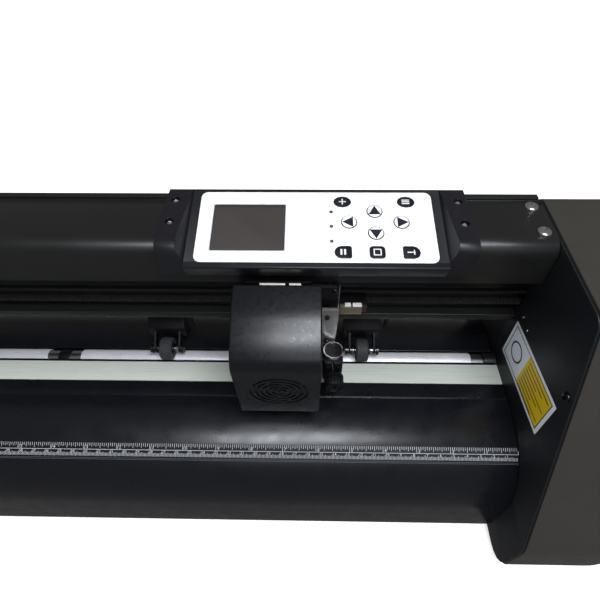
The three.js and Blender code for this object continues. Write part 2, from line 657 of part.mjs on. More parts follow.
// Housing that saddles the beam: two flat wings with a sunken, tilted face between them.
function panelHousing(frameMatrix) {
  const { x0, x1, top, front, lip, bottom, skin } = HOUSING;
  const rest = TOP + GAP;
  const inner = BEAM.front - GAP;
  const wings = extrude(outline([
    [BEAM.back, rest], [BEAM.back, top, 1], [front, top, 7], [front, bottom], [inner, bottom], [inner, rest],
  ], 5), 'x', x0, x1);
  const rise = Math.tan(PANEL.tilt);
  const face = (y) => PANEL.z + (y - PANEL.y) * rise;
  const under = (y) => face(y) - skin / Math.cos(PANEL.tilt);
  const back = 86.6;
  const well = extrude(outline([
    [82.7, under(82.7)], [82.7, rest - 0.1], [back, rest - 0.1], [back, top, 1], [front, top, 7],
    [front, bottom], [inner, bottom], [inner, under(inner)],
  ], 5), 'x', 121.9, 307.4);
  const nose = extrude(outline([
    [front + 1, face(front + 1) - 0.5], [lip, face(lip), 1.2], [front, bottom], [inner, bottom], [inner, 232],
  ], 4), 'x', PANEL.x - FACE.half - 0.1, PANEL.x + FACE.half + 0.1);
  const beamWell = box(124.9, 304.4, inner - 0.1, 82.7, bottom + 1, rest + 0.2);
  const clearUnder = cut(beamWell, extrude(outline([
    [inner - 1, under(inner - 1)], [84, under(84)], [84, 260], [inner - 1, 260],
  ]), 'x', 120, 310));
  const sink = extrude(outline([
    [-FACE.half, 0], [FACE.half, 0], [FACE.half + 7, 20], [-FACE.half - 7, 20],
  ]), 'y', -10, FACE.depth).applyMatrix4(frameMatrix);
  const holes = keyHoles(-6, 2).map((hole) => hole.applyMatrix4(frameMatrix));
  return piece('panel_housing', cut(join(wings, well, nose), clearUnder, sink, ...holes), HOUSING_GREY);
}

function panelOverlay() {
  const { half, v0, v1, thick } = OVERLAY;
  const sheet = extrude(roundedRectangle(-half, v0, half, v1, 4.5), 'z', GAP, GAP + thick);
  const window = extrude(
    roundedRectangle(WINDOW.u0 - GAP, WINDOW.v0 - GAP, WINDOW.u1 + GAP, WINDOW.v1 + GAP, 1),
    'z', -1, 3,
  );
  return piece('panel_overlay', cut(sheet, window, ...keyHoles(-1, 3)), OVERLAY_WHITE);
}

function displayWindow() {
  const { u0, u1, v0, v1 } = WINDOW;
  return piece('display_window', extrude(roundedRectangle(u0, v0, u1, v1, 0.8), 'z', GAP, GAP + OVERLAY.thick), DISPLAY);
}

function panelKey([name, kind, du, v]) {
  const mesh = piece(name, extrude(keyShape(kind, 0, 0), 'z', -3.2, KEY_PROUD, 6), PLASTIC_BLACK);
  mesh.position.set(KEY_COLUMN + du, v, 0);
  return mesh;
}

// Board behind the face with the switches of the keys and the display module.
function panelBoard() {
  return piece('panel_board', join(
    box(-76, 76, 12, 57, -5.9, -4.3),
    box(-70, -20, 13, 52, -4.4, -3.4),
  ), BOARD_GREEN);
}

// ---- Electrics ----------------------------------------------------------------------------------

function mainBoard() {
  const face = HALF_WIDTH - 0.6;
  const blocks = Object.values(PORTS).map(({ y, z, halfY, halfZ }) => (
    box(461, face, y - halfY, y + halfY, z - halfZ, z + halfZ)
  ));
  const posts = [[-42, 46], [48, 46], [-20, 140], [40, 140]].map(([y, z]) => (
    rod('x', y, z, 3, 461, HALF_WIDTH - SHELL - GAP, 6)
  ));
  const usb = PORTS.usb;
  const usbMouth = box(face - 10, face + 5, usb.y - 4.3, usb.y + 4.3, usb.z - 3.9, usb.z + 3.9);
  const board = box(460, 461.6, -54, 54, 40, 152);
  const chip = box(455, 460.4, -20, 0, 96, 116);
  return piece('main_board', cut(join(board, chip, ...blocks, ...posts), usbMouth), BOARD_GREEN);
}

function powerSupply() {
  return piece('power_supply', join(
    box(-440, -392, -58, 58, FLOOR + SHELL + GAP, 60),
    box(-446, -386, -62, 62, FLOOR + SHELL + GAP, 14),
  ), STEEL);
}

// Mains inlet with the opening for its rocker switch, let into the outer face of the left cover.
const ROCKER = { z: INLET.z + 12.5, halfY: 9.5, halfZ: 6.4 };
const SOCKET = { z: INLET.z - 8, halfY: 10.5, halfZ: 8.2 };

function powerInlet() {
  const { y, z, halfY, halfZ, face } = INLET;
  const body = box(-face, -456, y - halfY, y + halfY, z - halfZ, z + halfZ);
  const socket = box(-face - 2, -face + 15, y - SOCKET.halfY, y + SOCKET.halfY, SOCKET.z - SOCKET.halfZ,
    SOCKET.z + SOCKET.halfZ);
  const well = box(-face - 2, -face + 10, y - ROCKER.halfY - 1, y + ROCKER.halfY + 1,
    ROCKER.z - ROCKER.halfZ - 1, ROCKER.z + ROCKER.halfZ + 1);
  return piece('power_inlet', cut(body, socket, well), PLASTIC_BLACK);
}

// Rocker, shown with its lower end pressed in.
function powerSwitch() {
  const { halfY, halfZ } = ROCKER;
  const section = outline([
    [-0.2, -halfZ + 1, 1], [-1.8, -halfZ + 0.4, 0.8], [-1.1, 0, 10], [-1.8, halfZ - 0.4, 0.8], [-0.2, halfZ - 1, 1],
    [3.5, 2.5], [3.5, -2.5],
  ], 3);
  const mesh = piece('power_switch', extrude(section, 'y', -halfY, halfY), PLASTIC_BLACK);
  mesh.position.set(-INLET.face + 1.6, INLET.y, ROCKER.z);
  mesh.rotation.y = THREE.MathUtils.degToRad(-9);
  return mesh;
}

// ---- Assembly -----------------------------------------------------------------------------------

const machine = new THREE.Group();
const panel = panelFrame();

machine.add(
  mainBeam(), guideRail(), frontPlaten(), cuttingStrip(), rearPlaten(), basePan(),
  sidePlate('right'), sidePlate('left'), endCover('right'), endCover('left'),
  foot('foot_front_right', FOOT.x, -FOOT.y), foot('foot_front_left', -FOOT.x, -FOOT.y),
  foot('foot_rear_right', FOOT.x, FOOT.y), foot('foot_rear_left', -FOOT.x, FOOT.y),
  feedShaft(), gritSleeve('right'), gritSleeve('left'), feedGear(), feedPinion(), feedMotor(), centreSupport(),
  driveBelt(), pulley('motor_pulley', BELT.x), pulley('idler_pulley', -BELT.x), carriageMotor(),
  slideBlock(), carriagePlate(), carriageCover(), carriageBoard(), liftSolenoid(),
  toolSlide(), clampKnob(), bladeHolder(), beltClamp(),
  mainBoard(), powerSupply(), powerInlet(), powerSwitch(),
);

PINCH_X.forEach((x, i) => {
  machine.add(
    pinchBracket(`pinch_bracket_${i + 1}`, x),
    pinchArm(`pinch_arm_${i + 1}`, x),
    pinchWheel(`pinch_wheel_${i + 1}`, x),
  );
});

panel.add(panelOverlay(), displayWindow(), panelBoard(), ...KEYS.map(panelKey));
machine.add(panelHousing(panel.matrix), panel);

export default machine;
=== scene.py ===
"""Looks of the table-top vinyl cutter: materials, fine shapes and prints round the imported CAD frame."""

import json
from math import cos, pi, radians, sin, tan

import bmesh
import bpy
from mathutils import Matrix, Vector


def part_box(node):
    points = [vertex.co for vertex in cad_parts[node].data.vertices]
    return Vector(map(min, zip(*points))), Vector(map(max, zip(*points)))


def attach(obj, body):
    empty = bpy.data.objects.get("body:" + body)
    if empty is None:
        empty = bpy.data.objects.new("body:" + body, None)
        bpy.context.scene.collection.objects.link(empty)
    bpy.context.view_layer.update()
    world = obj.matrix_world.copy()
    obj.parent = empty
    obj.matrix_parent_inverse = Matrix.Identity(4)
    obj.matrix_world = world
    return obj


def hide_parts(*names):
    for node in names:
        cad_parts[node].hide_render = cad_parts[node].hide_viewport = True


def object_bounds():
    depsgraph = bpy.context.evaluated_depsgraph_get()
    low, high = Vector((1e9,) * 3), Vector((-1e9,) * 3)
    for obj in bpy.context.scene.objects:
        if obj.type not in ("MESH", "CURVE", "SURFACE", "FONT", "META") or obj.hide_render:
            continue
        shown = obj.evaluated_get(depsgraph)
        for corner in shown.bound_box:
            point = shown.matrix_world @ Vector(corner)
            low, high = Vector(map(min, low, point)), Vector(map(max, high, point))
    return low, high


MM = 0.001
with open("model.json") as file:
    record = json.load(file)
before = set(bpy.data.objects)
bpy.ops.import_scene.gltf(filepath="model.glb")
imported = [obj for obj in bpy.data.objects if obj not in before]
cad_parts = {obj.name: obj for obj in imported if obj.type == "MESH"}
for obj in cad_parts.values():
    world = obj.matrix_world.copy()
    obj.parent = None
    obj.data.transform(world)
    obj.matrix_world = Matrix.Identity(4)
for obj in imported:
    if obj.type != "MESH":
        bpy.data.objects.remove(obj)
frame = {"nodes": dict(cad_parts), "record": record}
cad_low, cad_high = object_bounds()
nodes = frame["nodes"]


# ---- Camera, light and floor ----

CAMERA_PLACE = Vector((209.7, -171.7, 444.5)) * MM
CAMERA_TURN = radians(1.57)  # towards -X
CAMERA_PITCH = radians(50.87)  # downwards
CAMERA_ROLL = radians(0.79)
CAMERA_LENS = 27.0  # millimetres on a 36 mm sensor
WORLD_LIGHT = 0.14
FLOOR_HALF = 4.0  # metres
FLOOR_GLOW = 0.7


def placed(name, data):
    """A new object in the scene."""
    made = bpy.data.objects.new(name, data)
    bpy.context.scene.collection.objects.link(made)
    return made


def place_camera():
    camera = placed("camera", bpy.data.cameras.new("camera"))
    camera.data.lens = CAMERA_LENS
    camera.data.sensor_width = 36.0
    camera.data.clip_start = 0.01
    level_view = pi / 2  # from looking down to looking along +Y
    camera.matrix_world = (
        Matrix.Translation(CAMERA_PLACE) @ Matrix.Rotation(CAMERA_TURN, 4, "Z")
        @ Matrix.Rotation(level_view - CAMERA_PITCH, 4, "X") @ Matrix.Rotation(-CAMERA_ROLL, 4, "Z")
    )
    bpy.context.scene.camera = camera


def area_light(name, place, target, size, power, color=(1, 1, 1), mirrored=True):
    light = bpy.data.lights.new(name, "AREA")
    light.shape = "RECTANGLE"
    light.size, light.size_y = size
    light.energy = power
    light.color = color
    lamp = placed(name, light)
    lamp.visible_glossy = mirrored
    lamp.location = place
    ahead = Vector(target) - Vector(place)
    lamp.rotation_euler = ahead.to_track_quat("-Z", "Y").to_euler()


def light_studio():
    area_light("key", (0.37, -0.33, 1.05), (0.24, 0.0, 0.12), (0.52, 0.25), 7.8, (0.9, 0.94, 1.0))
    area_light("front_softbox", (0.62, -1.1, 1.1), (0.3, 0, 0.15), (1.1, 0.5), 2.0, (0.92, 0.95, 1.0))
    area_light("overhead", (0.1, 0.32, 1.8), (0.1, 0.32, 0), (2.4, 0.6), 16, (1.0, 0.99, 0.97),
               mirrored=False)
    world = bpy.data.worlds.new("studio")
    world.use_nodes = True
    background = world.node_tree.nodes["Background"]
    background.inputs["Color"].default_value = (1, 1, 1, 1)
    background.inputs["Strength"].default_value = WORLD_LIGHT
    bpy.context.scene.world = world
    bpy.context.scene.view_settings.view_transform = "Standard"


def lay_floor():
    mesh = bpy.data.meshes.new("floor")
    corners = [(x * FLOOR_HALF, y * FLOOR_HALF, 0) for x, y in ((-1, -1), (1, -1), (1, 1), (-1, 1))]
    mesh.from_pydata(corners, [], [(0, 1, 2, 3)])
    floor = placed("floor", mesh)
    paper = Look("floor_paper", (246, 246, 246), 0.9, specular=0.1)
    paper.tint(paper.noise(60), 0.01)
    paper.shader.inputs["Emission Color"].default_value = (1, 1, 1, 1)
    paper.shader.inputs["Emission Strength"].default_value = FLOOR_GLOW
    floor.data.materials.append(paper.material)
    floor.visible_glossy = False


# ---- Materials ----

def linear(color):
    """The linear value of an sRGB colour of 0 to 255."""
    return [(c / 255 / 12.92 if c <= 10 else ((c / 255 + 0.055) / 1.055) ** 2.4) for c in color]


class Look:
    """A node material round one Principled shader, with its textures in the object's own space."""

    def __init__(self, name, color, roughness, metallic=0.0, specular=0.5, coat=0.0, coat_roughness=0.05):
        self.material = bpy.data.materials.new(name)
        self.material.use_nodes = True
        self.tree = self.material.node_tree
        self.shader = self.tree.nodes["Principled BSDF"]
        self.color = linear(color)
        self.roughness = roughness
        constants = {
            "Base Color": (*self.color, 1), "Roughness": roughness, "Metallic": metallic,
            "Specular IOR Level": specular, "Coat Weight": coat, "Coat Roughness": coat_roughness,
        }
        for socket, value in constants.items():
            self.shader.inputs[socket].default_value = value

    def link(self, output, target):
        self.tree.links.new(output, target)

    def node(self, kind, values=()):
        """A new shader node with values on its sockets."""
        made = self.tree.nodes.new(f"ShaderNode{kind}")
        for socket, value in dict(values).items():
            made.inputs[socket].default_value = value
        return made

    def space(self, size, stretch):
        """Object space in steps of size millimetres, each axis stretched by its own factor."""
        place = self.node("TexCoord")
        mapping = self.node("Mapping", {"Scale": [1 / (size * MM * factor) for factor in stretch]})
        self.link(place.outputs["Object"], mapping.inputs["Vector"])
        return mapping.outputs["Vector"]

    def noise(self, size, detail=3.0, stretch=(1, 1, 1)):
        texture = self.node("TexNoise", {"Scale": 1.0, "Detail": detail})
        self.link(self.space(size, stretch), texture.inputs["Vector"])
        return texture.outputs["Fac"]

    def cells(self, size, feature="F1"):
        texture = self.node("TexVoronoi", {"Scale": 1.0})
        texture.feature = feature
        self.link(self.space(size, (1, 1, 1)), texture.inputs["Vector"])
        return texture.outputs["Distance"]

    def spread(self, factor, low, high, start=0.25, end=0.75):
        """The factor's values from start to end as values from low to high."""
        remap = self.node("MapRange", {"From Min": start, "From Max": end, "To Min": low, "To Max": high})
        self.link(factor, remap.inputs["Value"])
        return remap.outputs["Result"]

    def mix(self, factor, first, second):
        blend = self.node("Mix")
        blend.data_type = "RGBA"
        self.link(factor, blend.inputs["Factor"])
        for socket, value in (("A", first), ("B", second)):
            target = next(i for i in blend.inputs if i.name == socket and i.type == "RGBA")
            if isinstance(value, bpy.types.NodeSocket):
                self.link(value, target)
            else:
                target.default_value = (*value, 1)
        return next(o for o in blend.outputs if o.type == "RGBA")

    def tint(self, factor, share):
        """Lets the colour drift by the share up and down."""
        dark = [c * (1 - share) for c in self.color]
        light = [min(1, c * (1 + share)) for c in self.color]
        self.link(self.mix(self.spread(factor, 0, 1), dark, light), self.shader.inputs["Base Color"])

    def vary_gloss(self, factor, share):
        low, high = self.roughness - share, min(1, self.roughness + share)
        self.link(self.spread(factor, low, high), self.shader.inputs["Roughness"])

    def relief(self, height, depth, strength=1.0, below=None):
        """Bump of depth millimetres; below is the output of a coarser bump under it."""
        bump = self.node("Bump", {"Strength": strength, "Distance": depth * MM})
        self.link(height, bump.inputs["Height"])
        if below is not None:
            self.link(below, bump.inputs["Normal"])
        self.link(bump.outputs["Normal"], self.shader.inputs["Normal"])
        return bump.outputs["Normal"]


def surface(name, color, roughness, tint, gloss, relief, **shader):
    """A material whose colour, gloss and height follow noises given as (size, amount, detail, stretch)."""
    look = Look(name, color, roughness, **shader)
    for change, (size, amount, *noise) in ((look.tint, tint), (look.vary_gloss, gloss), (look.relief, relief)):
        change(look.noise(size, *noise), amount)
    return look.material


def powder_coat(name, color, roughness, specular=0.4, peel=0.03):
    """Baked powder paint: an orange-peel surface with a little dust in the gloss."""
    return surface(name, color, roughness, (35, 0.07), (14, 0.06, 4), (0.9, peel, 2), specular=specular)


def anodised(name, color, roughness):
    """Drawn aluminium section, anodised black: fine die lines along its length."""
    drawn = (400, 1, 1)
    return surface(name, color, roughness, (0.5, 0.1, 2, drawn), (30, 0.05, 4), (0.5, 0.006, 2, drawn),
                   specular=0.45)


def moulded(name, color, roughness, grain=0.35, depth=0.02, specular=0.4):
    """Moulded plastic with a fine spark-eroded texture."""
    return surface(name, color, roughness, (12, 0.08), (6, 0.05), (grain, depth, 2), specular=specular)


def leather_grain(name, color, roughness):
    """Plastic cover with a moulded leather grain: small domed cells with creases between them."""
    look = Look(name, color, roughness, specular=0.5)
    look.tint(look.noise(20), 0.1)
    creases = look.spread(look.cells(0.85, "DISTANCE_TO_EDGE"), 0, 1, 0.0, 0.35)
    coarse = look.relief(creases, 0.025, 0.6)
    look.relief(look.noise(0.4, 2), 0.008, 0.5, coarse)
    look.vary_gloss(look.noise(2.5, 3), 0.06)
    return look.material


def ground_metal(name, color, roughness, stretch=(60, 1, 1), metallic=1.0):
    """Machined metal with grinding lines along one axis and a few dull patches."""
    return surface(name, color, roughness, (18, 0.1, 4), (0.18, 0.09, 3, stretch), (0.18, 0.008, 3, stretch),
                   metallic=metallic)


def grit_coat(name):
    """Nickel with bonded grit: sharp grains that glint."""
    look = Look(name, (232, 231, 235), 0.42, 0.3)
    look.tint(look.noise(9, 4), 0.06)
    look.relief(look.cells(0.45), 0.09, 0.8)
    look.vary_gloss(look.noise(0.5, 2), 0.18)
    return look.material


def rubber(name, color, roughness=0.75):
    return surface(name, color, roughness, (5, 0.15, 4), (2.0, 0.08, 2), (0.5, 0.03), specular=0.3)


def strip_plastic(name):
    """Cutting strip: matt, pale, with fine knife lines along the travel of the blade."""
    look = Look(name, (206, 212, 202), 0.55, specular=0.3)
    scratches = look.spread(look.noise(0.3, 2, (160, 1, 1)), 0, 1, 0.56, 0.66)
    stains = look.spread(look.noise(26, 5, (2.5, 1, 1)), 0, 1, 0.35, 0.7)
    clean = look.mix(stains, linear((200, 206, 196)), look.color)
    worn = look.mix(scratches, clean, linear((186, 192, 183)))
    look.link(worn, look.shader.inputs["Base Color"])
    look.relief(look.noise(0.3, 2, (160, 1, 1)), 0.02)
    look.vary_gloss(look.noise(8, 3), 0.08)
    return look.material


def printed_film(name, color, gloss=0.32):
    """Polyester overlay film with a faint silk texture."""
    return surface(name, color, gloss, (25, 0.012, 2), (10, 0.04, 2), (0.25, 0.006, 2),
                   specular=0.4, coat=0.12, coat_roughness=0.2)


def ink(name, color, roughness=0.5):
    look = Look(name, color, roughness, specular=0.3)
    look.tint(look.noise(1.5, 2), 0.05)
    return look.material


def display_lens(name):
    """Switched-off display behind a clear lens, with a painted shadow of the bezel darkening it towards its
    upper edge.
    """
    look = Look(name, (62, 58, 56), 0.38, specular=0.35, coat=0.2, coat_roughness=0.12)
    place, parts = look.node("TexCoord"), look.node("SeparateXYZ")
    look.link(place.outputs["Object"], parts.inputs["Vector"])
    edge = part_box("display_window")[1].y
    # painted shadow of the bezel over the top 3 mm of the lens
    bezel_shadow = look.spread(parts.outputs["Y"], 0, 1, edge - 3 * MM, edge - 0.5 * MM)
    veil = look.mix(look.spread(look.noise(30, 2), 0, 1), linear((58, 54, 52)), look.color)
    shade = look.mix(bezel_shadow, veil, linear((44, 42, 43)))
    look.link(shade, look.shader.inputs["Base Color"])
    look.relief(look.noise(0.3, 1), 0.002)
    return look.material


def circuit_board(name):
    """Green solder mask over copper tracks."""
    look = Look(name, (24, 74, 48), 0.35, specular=0.5, coat=0.3)
    tracks = look.spread(look.cells(2.2, "DISTANCE_TO_EDGE"), 1, 0, 0.05, 0.12)
    look.link(look.mix(tracks, look.color, linear((40, 110, 70))), look.shader.inputs["Base Color"])
    look.relief(tracks, 0.02)
    return look.material


def clean_metal(name, color, roughness, metallic=1.0):
    """Plated screws and fittings: bright, with slight cloudiness."""
    return surface(name, color, roughness, (1.5, 0.12, 4), (0.6, 0.08), (0.3, 0.006, 2), metallic=metallic)


HOUSING = powder_coat("housing_paint", (52, 50, 46), 0.46)
PANEL_PAINT = powder_coat("panel_housing_paint", (22, 22, 27), 0.4)
PLATE_PAINT = powder_coat("side_plate_paint", (21, 22, 26), 0.42, 0.35)
PLATEN_PAINT = powder_coat("platen_paint", (15, 16, 21), 0.3, 0.5, 0.004)
BEAM_BLACK = anodised("beam_anodised", (24, 24, 24), 0.36)
RAIL_BLACK = ground_metal("rail_blackened", (34, 35, 39), 0.34, (80, 1, 1), 0.8)
BLACK_PLASTIC = moulded("black_plastic", (10, 10, 12), 0.5, specular=0.25)
COVER_GRAIN = leather_grain("cover_grain", (11, 12, 16), 0.31)
KEY_PLASTIC = moulded("key_plastic", (20, 20, 30), 0.4, 0.25, 0.008)
GRIT = grit_coat("grit_coat")
STRIP = strip_plastic("strip_plastic")
STEEL = ground_metal("ground_steel", (176, 177, 180), 0.3)
STEEL_UPRIGHT = ground_metal("upright_steel", (128, 126, 122), 0.42, (1, 1, 60), 0.6)
BRASS = ground_metal("brass_ground", (142, 134, 108), 0.42, (20, 1, 1), 0.75)
ZINC = clean_metal("zinc_plate", (226, 226, 228), 0.22)
# Near-white matt nickel for the belt clamp jaws: the colour is partly a painted highlight standing in for
# their glints.
GLINT_NICKEL = clean_metal("nickel_painted_glint", (240, 240, 240), 0.5, 0.3)
FIBRE = rubber("fibre_brown", (50, 36, 34), 0.6)
DARK_ZINC = clean_metal("black_zinc", (70, 70, 74), 0.3)
TYRE = rubber("tyre_rubber", (58, 59, 62), 0.6)
RUBBER = rubber("rubber_black", (24, 24, 25))
OVERLAY = printed_film("overlay_film", (244, 246, 250))
LENS = display_lens("display_lens")
BOARD = circuit_board("board_mask")
NYLON = moulded("nylon_white", (238, 236, 226), 0.4, 0.4, 0.008)
MOTOR_BODY = powder_coat("motor_enamel", (52, 53, 56), 0.4)
INK_WHITE = ink("ink_white", (236, 238, 240))
INK_DARK = ink("ink_dark", (30, 30, 40))
INK_LINE = ink("ink_line", (84, 87, 95))
INK_RULE = ink("ink_rule", (178, 180, 184))
INK_GREY = ink("ink_grey", (186, 190, 198))
RULE_FILM = ink("rule_film", (20, 22, 30), 0.42)
LABEL_WHITE = ink("label_white", (200, 206, 216), 0.45)
LABEL_YELLOW = ink("label_yellow", (196, 166, 18), 0.45)
LED_LENS = moulded("led_lens", (96, 98, 104), 0.25, 0.4, 0.002)


# ---- Mesh helpers ----

TINY = 1e-6  # lengths below this count as nothing
AXES = {
    "x": Matrix(((0, 0, 1, 0), (1, 0, 0, 0), (0, 1, 0, 0), (0, 0, 0, 1))),
    "y": Matrix(((1, 0, 0, 0), (0, 0, 1, 0), (0, 1, 0, 0), (0, 0, 0, 1))),
    "z": Matrix.Identity(4),
}


def box(node):
    """Lowest and highest corner of a CAD node, in millimetres."""
    return [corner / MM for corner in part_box(node)]


def rounded(corners, steps=6):
    """Points of a closed outline through corners (a, b, radius), the rounded ones as arcs."""
    points = []
    for i, corner in enumerate(corners):
        place = Vector(corner[:2])
        radius = corner[2] if len(corner) > 2 else 0
        if not radius:
            points.append(place)
            continue
        back = (Vector(corners[i - 1][:2]) - place).normalized()
        ahead = (Vector(corners[(i + 1) % len(corners)][:2]) - place).normalized()
        half = back.angle(ahead) / 2
        centre = place + (back + ahead).normalized() * (radius / sin(half))
        spoke = place + back * (radius / tan(half)) - centre
        turn = (pi - 2 * half) * (1 if ahead.x * back.y - ahead.y * back.x > 0 else -1)
        for step in range(steps + 1):
            angle = turn * step / steps
            points.append(centre + Matrix.Rotation(angle, 2) @ spoke)
    return points


def rectangle(a0, b0, a1, b1, radius=0.0, steps=4):
    return rounded([(a0, b0, radius), (a1, b0, radius), (a1, b1, radius), (a0, b1, radius)], steps)


def circle(a, b, radius, count=32):
    return [Vector((a + radius * cos(t), b + radius * sin(t)))
            for t in (2 * pi * i / count for i in range(count))]


def prism(outline, axis, start, end):
    """A closed outline in (y, z), (x, z) or (x, y), in millimetres, drawn out along the remaining axis."""
    rings = [[(point[0], point[1], height) for point in outline] for height in (start, end)]
    return loft(rings, matrix=AXES[axis])


def block(low, high, soft=0.0):
    """A box between two corners, with its edges rounded where soft is given."""
    mesh = prism(rectangle(low[0], low[1], high[0], high[1]), "z", low[2], high[2])
    return softened(mesh, soft) if soft else mesh


def turned(profile, axis="z", centre=(0, 0, 0), count=48, ridges=0, depth=0.0, ridge_radius=1e9):
    """A turned solid from (radius, along) pairs; points at ridge_radius or beyond carry axial ridges."""
    mesh = bmesh.new()
    rings = []
    for radius, along in profile:
        if radius < TINY:
            rings.append([mesh.verts.new((0, 0, along))])
            continue
        ring = []
        for i in range(count):
            angle = 2 * pi * i / count
            wave = depth * cos(ridges * angle) if radius >= ridge_radius - TINY else 0
            reach = radius + wave
            ring.append(mesh.verts.new((reach * cos(angle), reach * sin(angle), along)))
        rings.append(ring)
    closed = len(rings[0]) > 1
    pairs = list(zip(rings, rings[1:])) + ([(rings[-1], rings[0])] if closed else [])
    for first, second in pairs:
        for i in range(count):
            j = (i + 1) % count
            corners = [first[i % len(first)], first[j % len(first)],
                       second[j % len(second)], second[i % len(second)]]
            unique = list(dict.fromkeys(corners))
            if len(unique) > 2:
                mesh.faces.new(unique)
    mesh.transform(Matrix.Translation(centre) @ AXES[axis])
    bmesh.ops.recalc_face_normals(mesh, faces=mesh.faces)
    return mesh


def loft(rings, closed_loop=False, matrix=AXES["z"]):
    """Faces between rings of equal length; the ends are capped, or joined to each other in a closed loop."""
    mesh = bmesh.new()
    made = [[mesh.verts.new(point) for point in ring] for ring in rings]
    count = len(rings[0])
    for first, second in zip(made, made[1:] + made[:1] if closed_loop else made[1:]):
        for i in range(count):
            j = (i + 1) % count
            mesh.faces.new((first[i], first[j], second[j], second[i]))
    if not closed_loop:
        mesh.faces.new(made[0][::-1])
        mesh.faces.new(made[-1])
    mesh.transform(matrix)
    bmesh.ops.recalc_face_normals(mesh, faces=mesh.faces)
    return mesh


def together(meshes):
    """All meshes in the first one."""
    whole = meshes[0]
    for other in meshes[1:]:
        spare = bpy.data.meshes.new("spare")
        other.to_mesh(spare)
        other.free()
        whole.from_mesh(spare)
        bpy.data.meshes.remove(spare)
    return whole


def moved(mesh, matrix):
    mesh.transform(matrix)
    return mesh


def softened(mesh, width, segments=2, limit=30):
    """Rounds every edge sharper than the limit in degrees."""
    sharp = [e for e in mesh.edges if len(e.link_faces) == 2 and e.calc_face_angle(0) > radians(limit)]
    bmesh.ops.bevel(mesh, geom=sharp, offset=width, segments=segments, profile=0.5, affect="EDGES",
                    clamp_overlap=True)
    return mesh


def as_object(mesh, name):
    data = bpy.data.meshes.new(name)
    mesh.to_mesh(data)
    mesh.free()
    return placed(name, data)


def carved(mesh, *tools):
    """The solid less the tools."""
    body = as_object(mesh, "body")
    cutter = as_object(together(list(tools)), "cutter")
    modifier = body.modifiers.new("cut", "BOOLEAN")
    modifier.object = cutter
    modifier.operation = "DIFFERENCE"
    modifier.solver = "EXACT"
    modifier.use_self = True
    result = bmesh.new()
    evaluated = body.evaluated_get(bpy.context.evaluated_depsgraph_get())
    result.from_mesh(evaluated.to_mesh())
    for used in (body, cutter):
        bpy.data.objects.remove(used)
    return result


def piece(name, mesh, look, body="machine", replaces=(), sharp=32):
    """A finished piece from a mesh or a list of them in millimetres, smooth but for its sharp edges."""
    mesh = together(mesh) if isinstance(mesh, list) else mesh
    mesh.transform(Matrix.Scale(MM, 4))
    for face in mesh.faces:
        face.smooth = True
    for edge in mesh.edges:
        edge.smooth = len(edge.link_faces) == 2 and edge.calc_face_angle(0) < radians(sharp)
    made = as_object(mesh, name)
    made.data.materials.append(look)
    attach(made, body)
    if replaces:
        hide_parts(*replaces)
    return made


def dress(node, look, width=0.4, segments=3):
    """Rounds the edges of a CAD node with modifiers and gives it its material."""
    shown = nodes[node]
    weld = shown.modifiers.new("weld", "WELD")
    weld.merge_threshold = 1e-6
    planar = shown.modifiers.new("planar", "DECIMATE")
    planar.decimate_type = "DISSOLVE"
    planar.angle_limit = radians(0.5)
    bevel = shown.modifiers.new("bevel", "BEVEL")
    bevel.width = width * MM
    bevel.segments = segments
    bevel.limit_method = "ANGLE"
    bevel.angle_limit = radians(32)
    bevel.harden_normals = True
    for polygon in shown.data.polygons:
        polygon.use_smooth = True
    shown.data.materials.clear()
    shown.data.materials.append(look)


# ---- Fasteners ----

def pan_head(radius):
    """Cross-recessed pan head that stands on z = 0."""
    height = radius * 0.62
    arc = [(radius * cos(t), height * 0.35 + height * 0.65 * sin(t))
           for t in (pi / 2 * i / 8 for i in range(9))]
    head = turned([(0, 0), (radius, 0)] + arc[:-1] + [(0, height)], count=40)
    arm = radius * 0.52
    width = radius * 0.14
    cross = [block((-arm, -width, height * 0.45), (arm, width, height * 2)),
             block((-width, -arm, height * 0.45), (width, arm, height * 2))]
    return carved(head, *cross)


def socket_head(radius):
    """Cap screw with a hexagon socket that stands on z = 0."""
    height = radius * 1.15
    head = turned([(0, 0), (radius, 0), (radius, height - 0.3), (radius - 0.3, height), (0, height)],
                  count=48, ridges=24, depth=0.05, ridge_radius=radius)
    return carved(head, prism(circle(0, 0, radius * 0.55, 6), "z", height * 0.4, height * 2))


def facing(place, normal, turn=0.0):
    """Matrix that stands +Z up along the normal at a place in millimetres."""
    upright = Vector(normal).to_track_quat("Z", "Y").to_matrix().to_4x4()
    return Matrix.Translation(place) @ upright @ Matrix.Rotation(turn, 4, "Z")


def screws(name, template, places, look, body="machine"):
    """One piece of several equal screws; each place is a point, a normal and the turn of the recess."""
    source = bpy.data.meshes.new("screw")
    template.to_mesh(source)
    template.free()
    copies = []
    for place, normal, turn in places:
        copy = bmesh.new()
        copy.from_mesh(source)
        copies.append(moved(copy, facing(place, normal, turn)))
    bpy.data.meshes.remove(source)
    return piece(name, copies, look, body)


# ---- Printing ----

FIGURE_SIZE = 1.35  # type size of a figure one unit tall


def film(outline, surface, lift, thick=0.04):
    """A closed thin patch: the outline (a, b) laid on a surface(a, b) -> (point, normal)."""
    spots = [surface(a, b) for a, b in outline]
    return loft([[point + normal * height for point, normal in spots] for height in (lift, lift + thick)])


def bar(surface, a0, b0, a1, b1, lift, thick=0.04):
    return film([(a0, b0), (a1, b0), (a1, b1), (a0, b1)], surface, lift, thick)


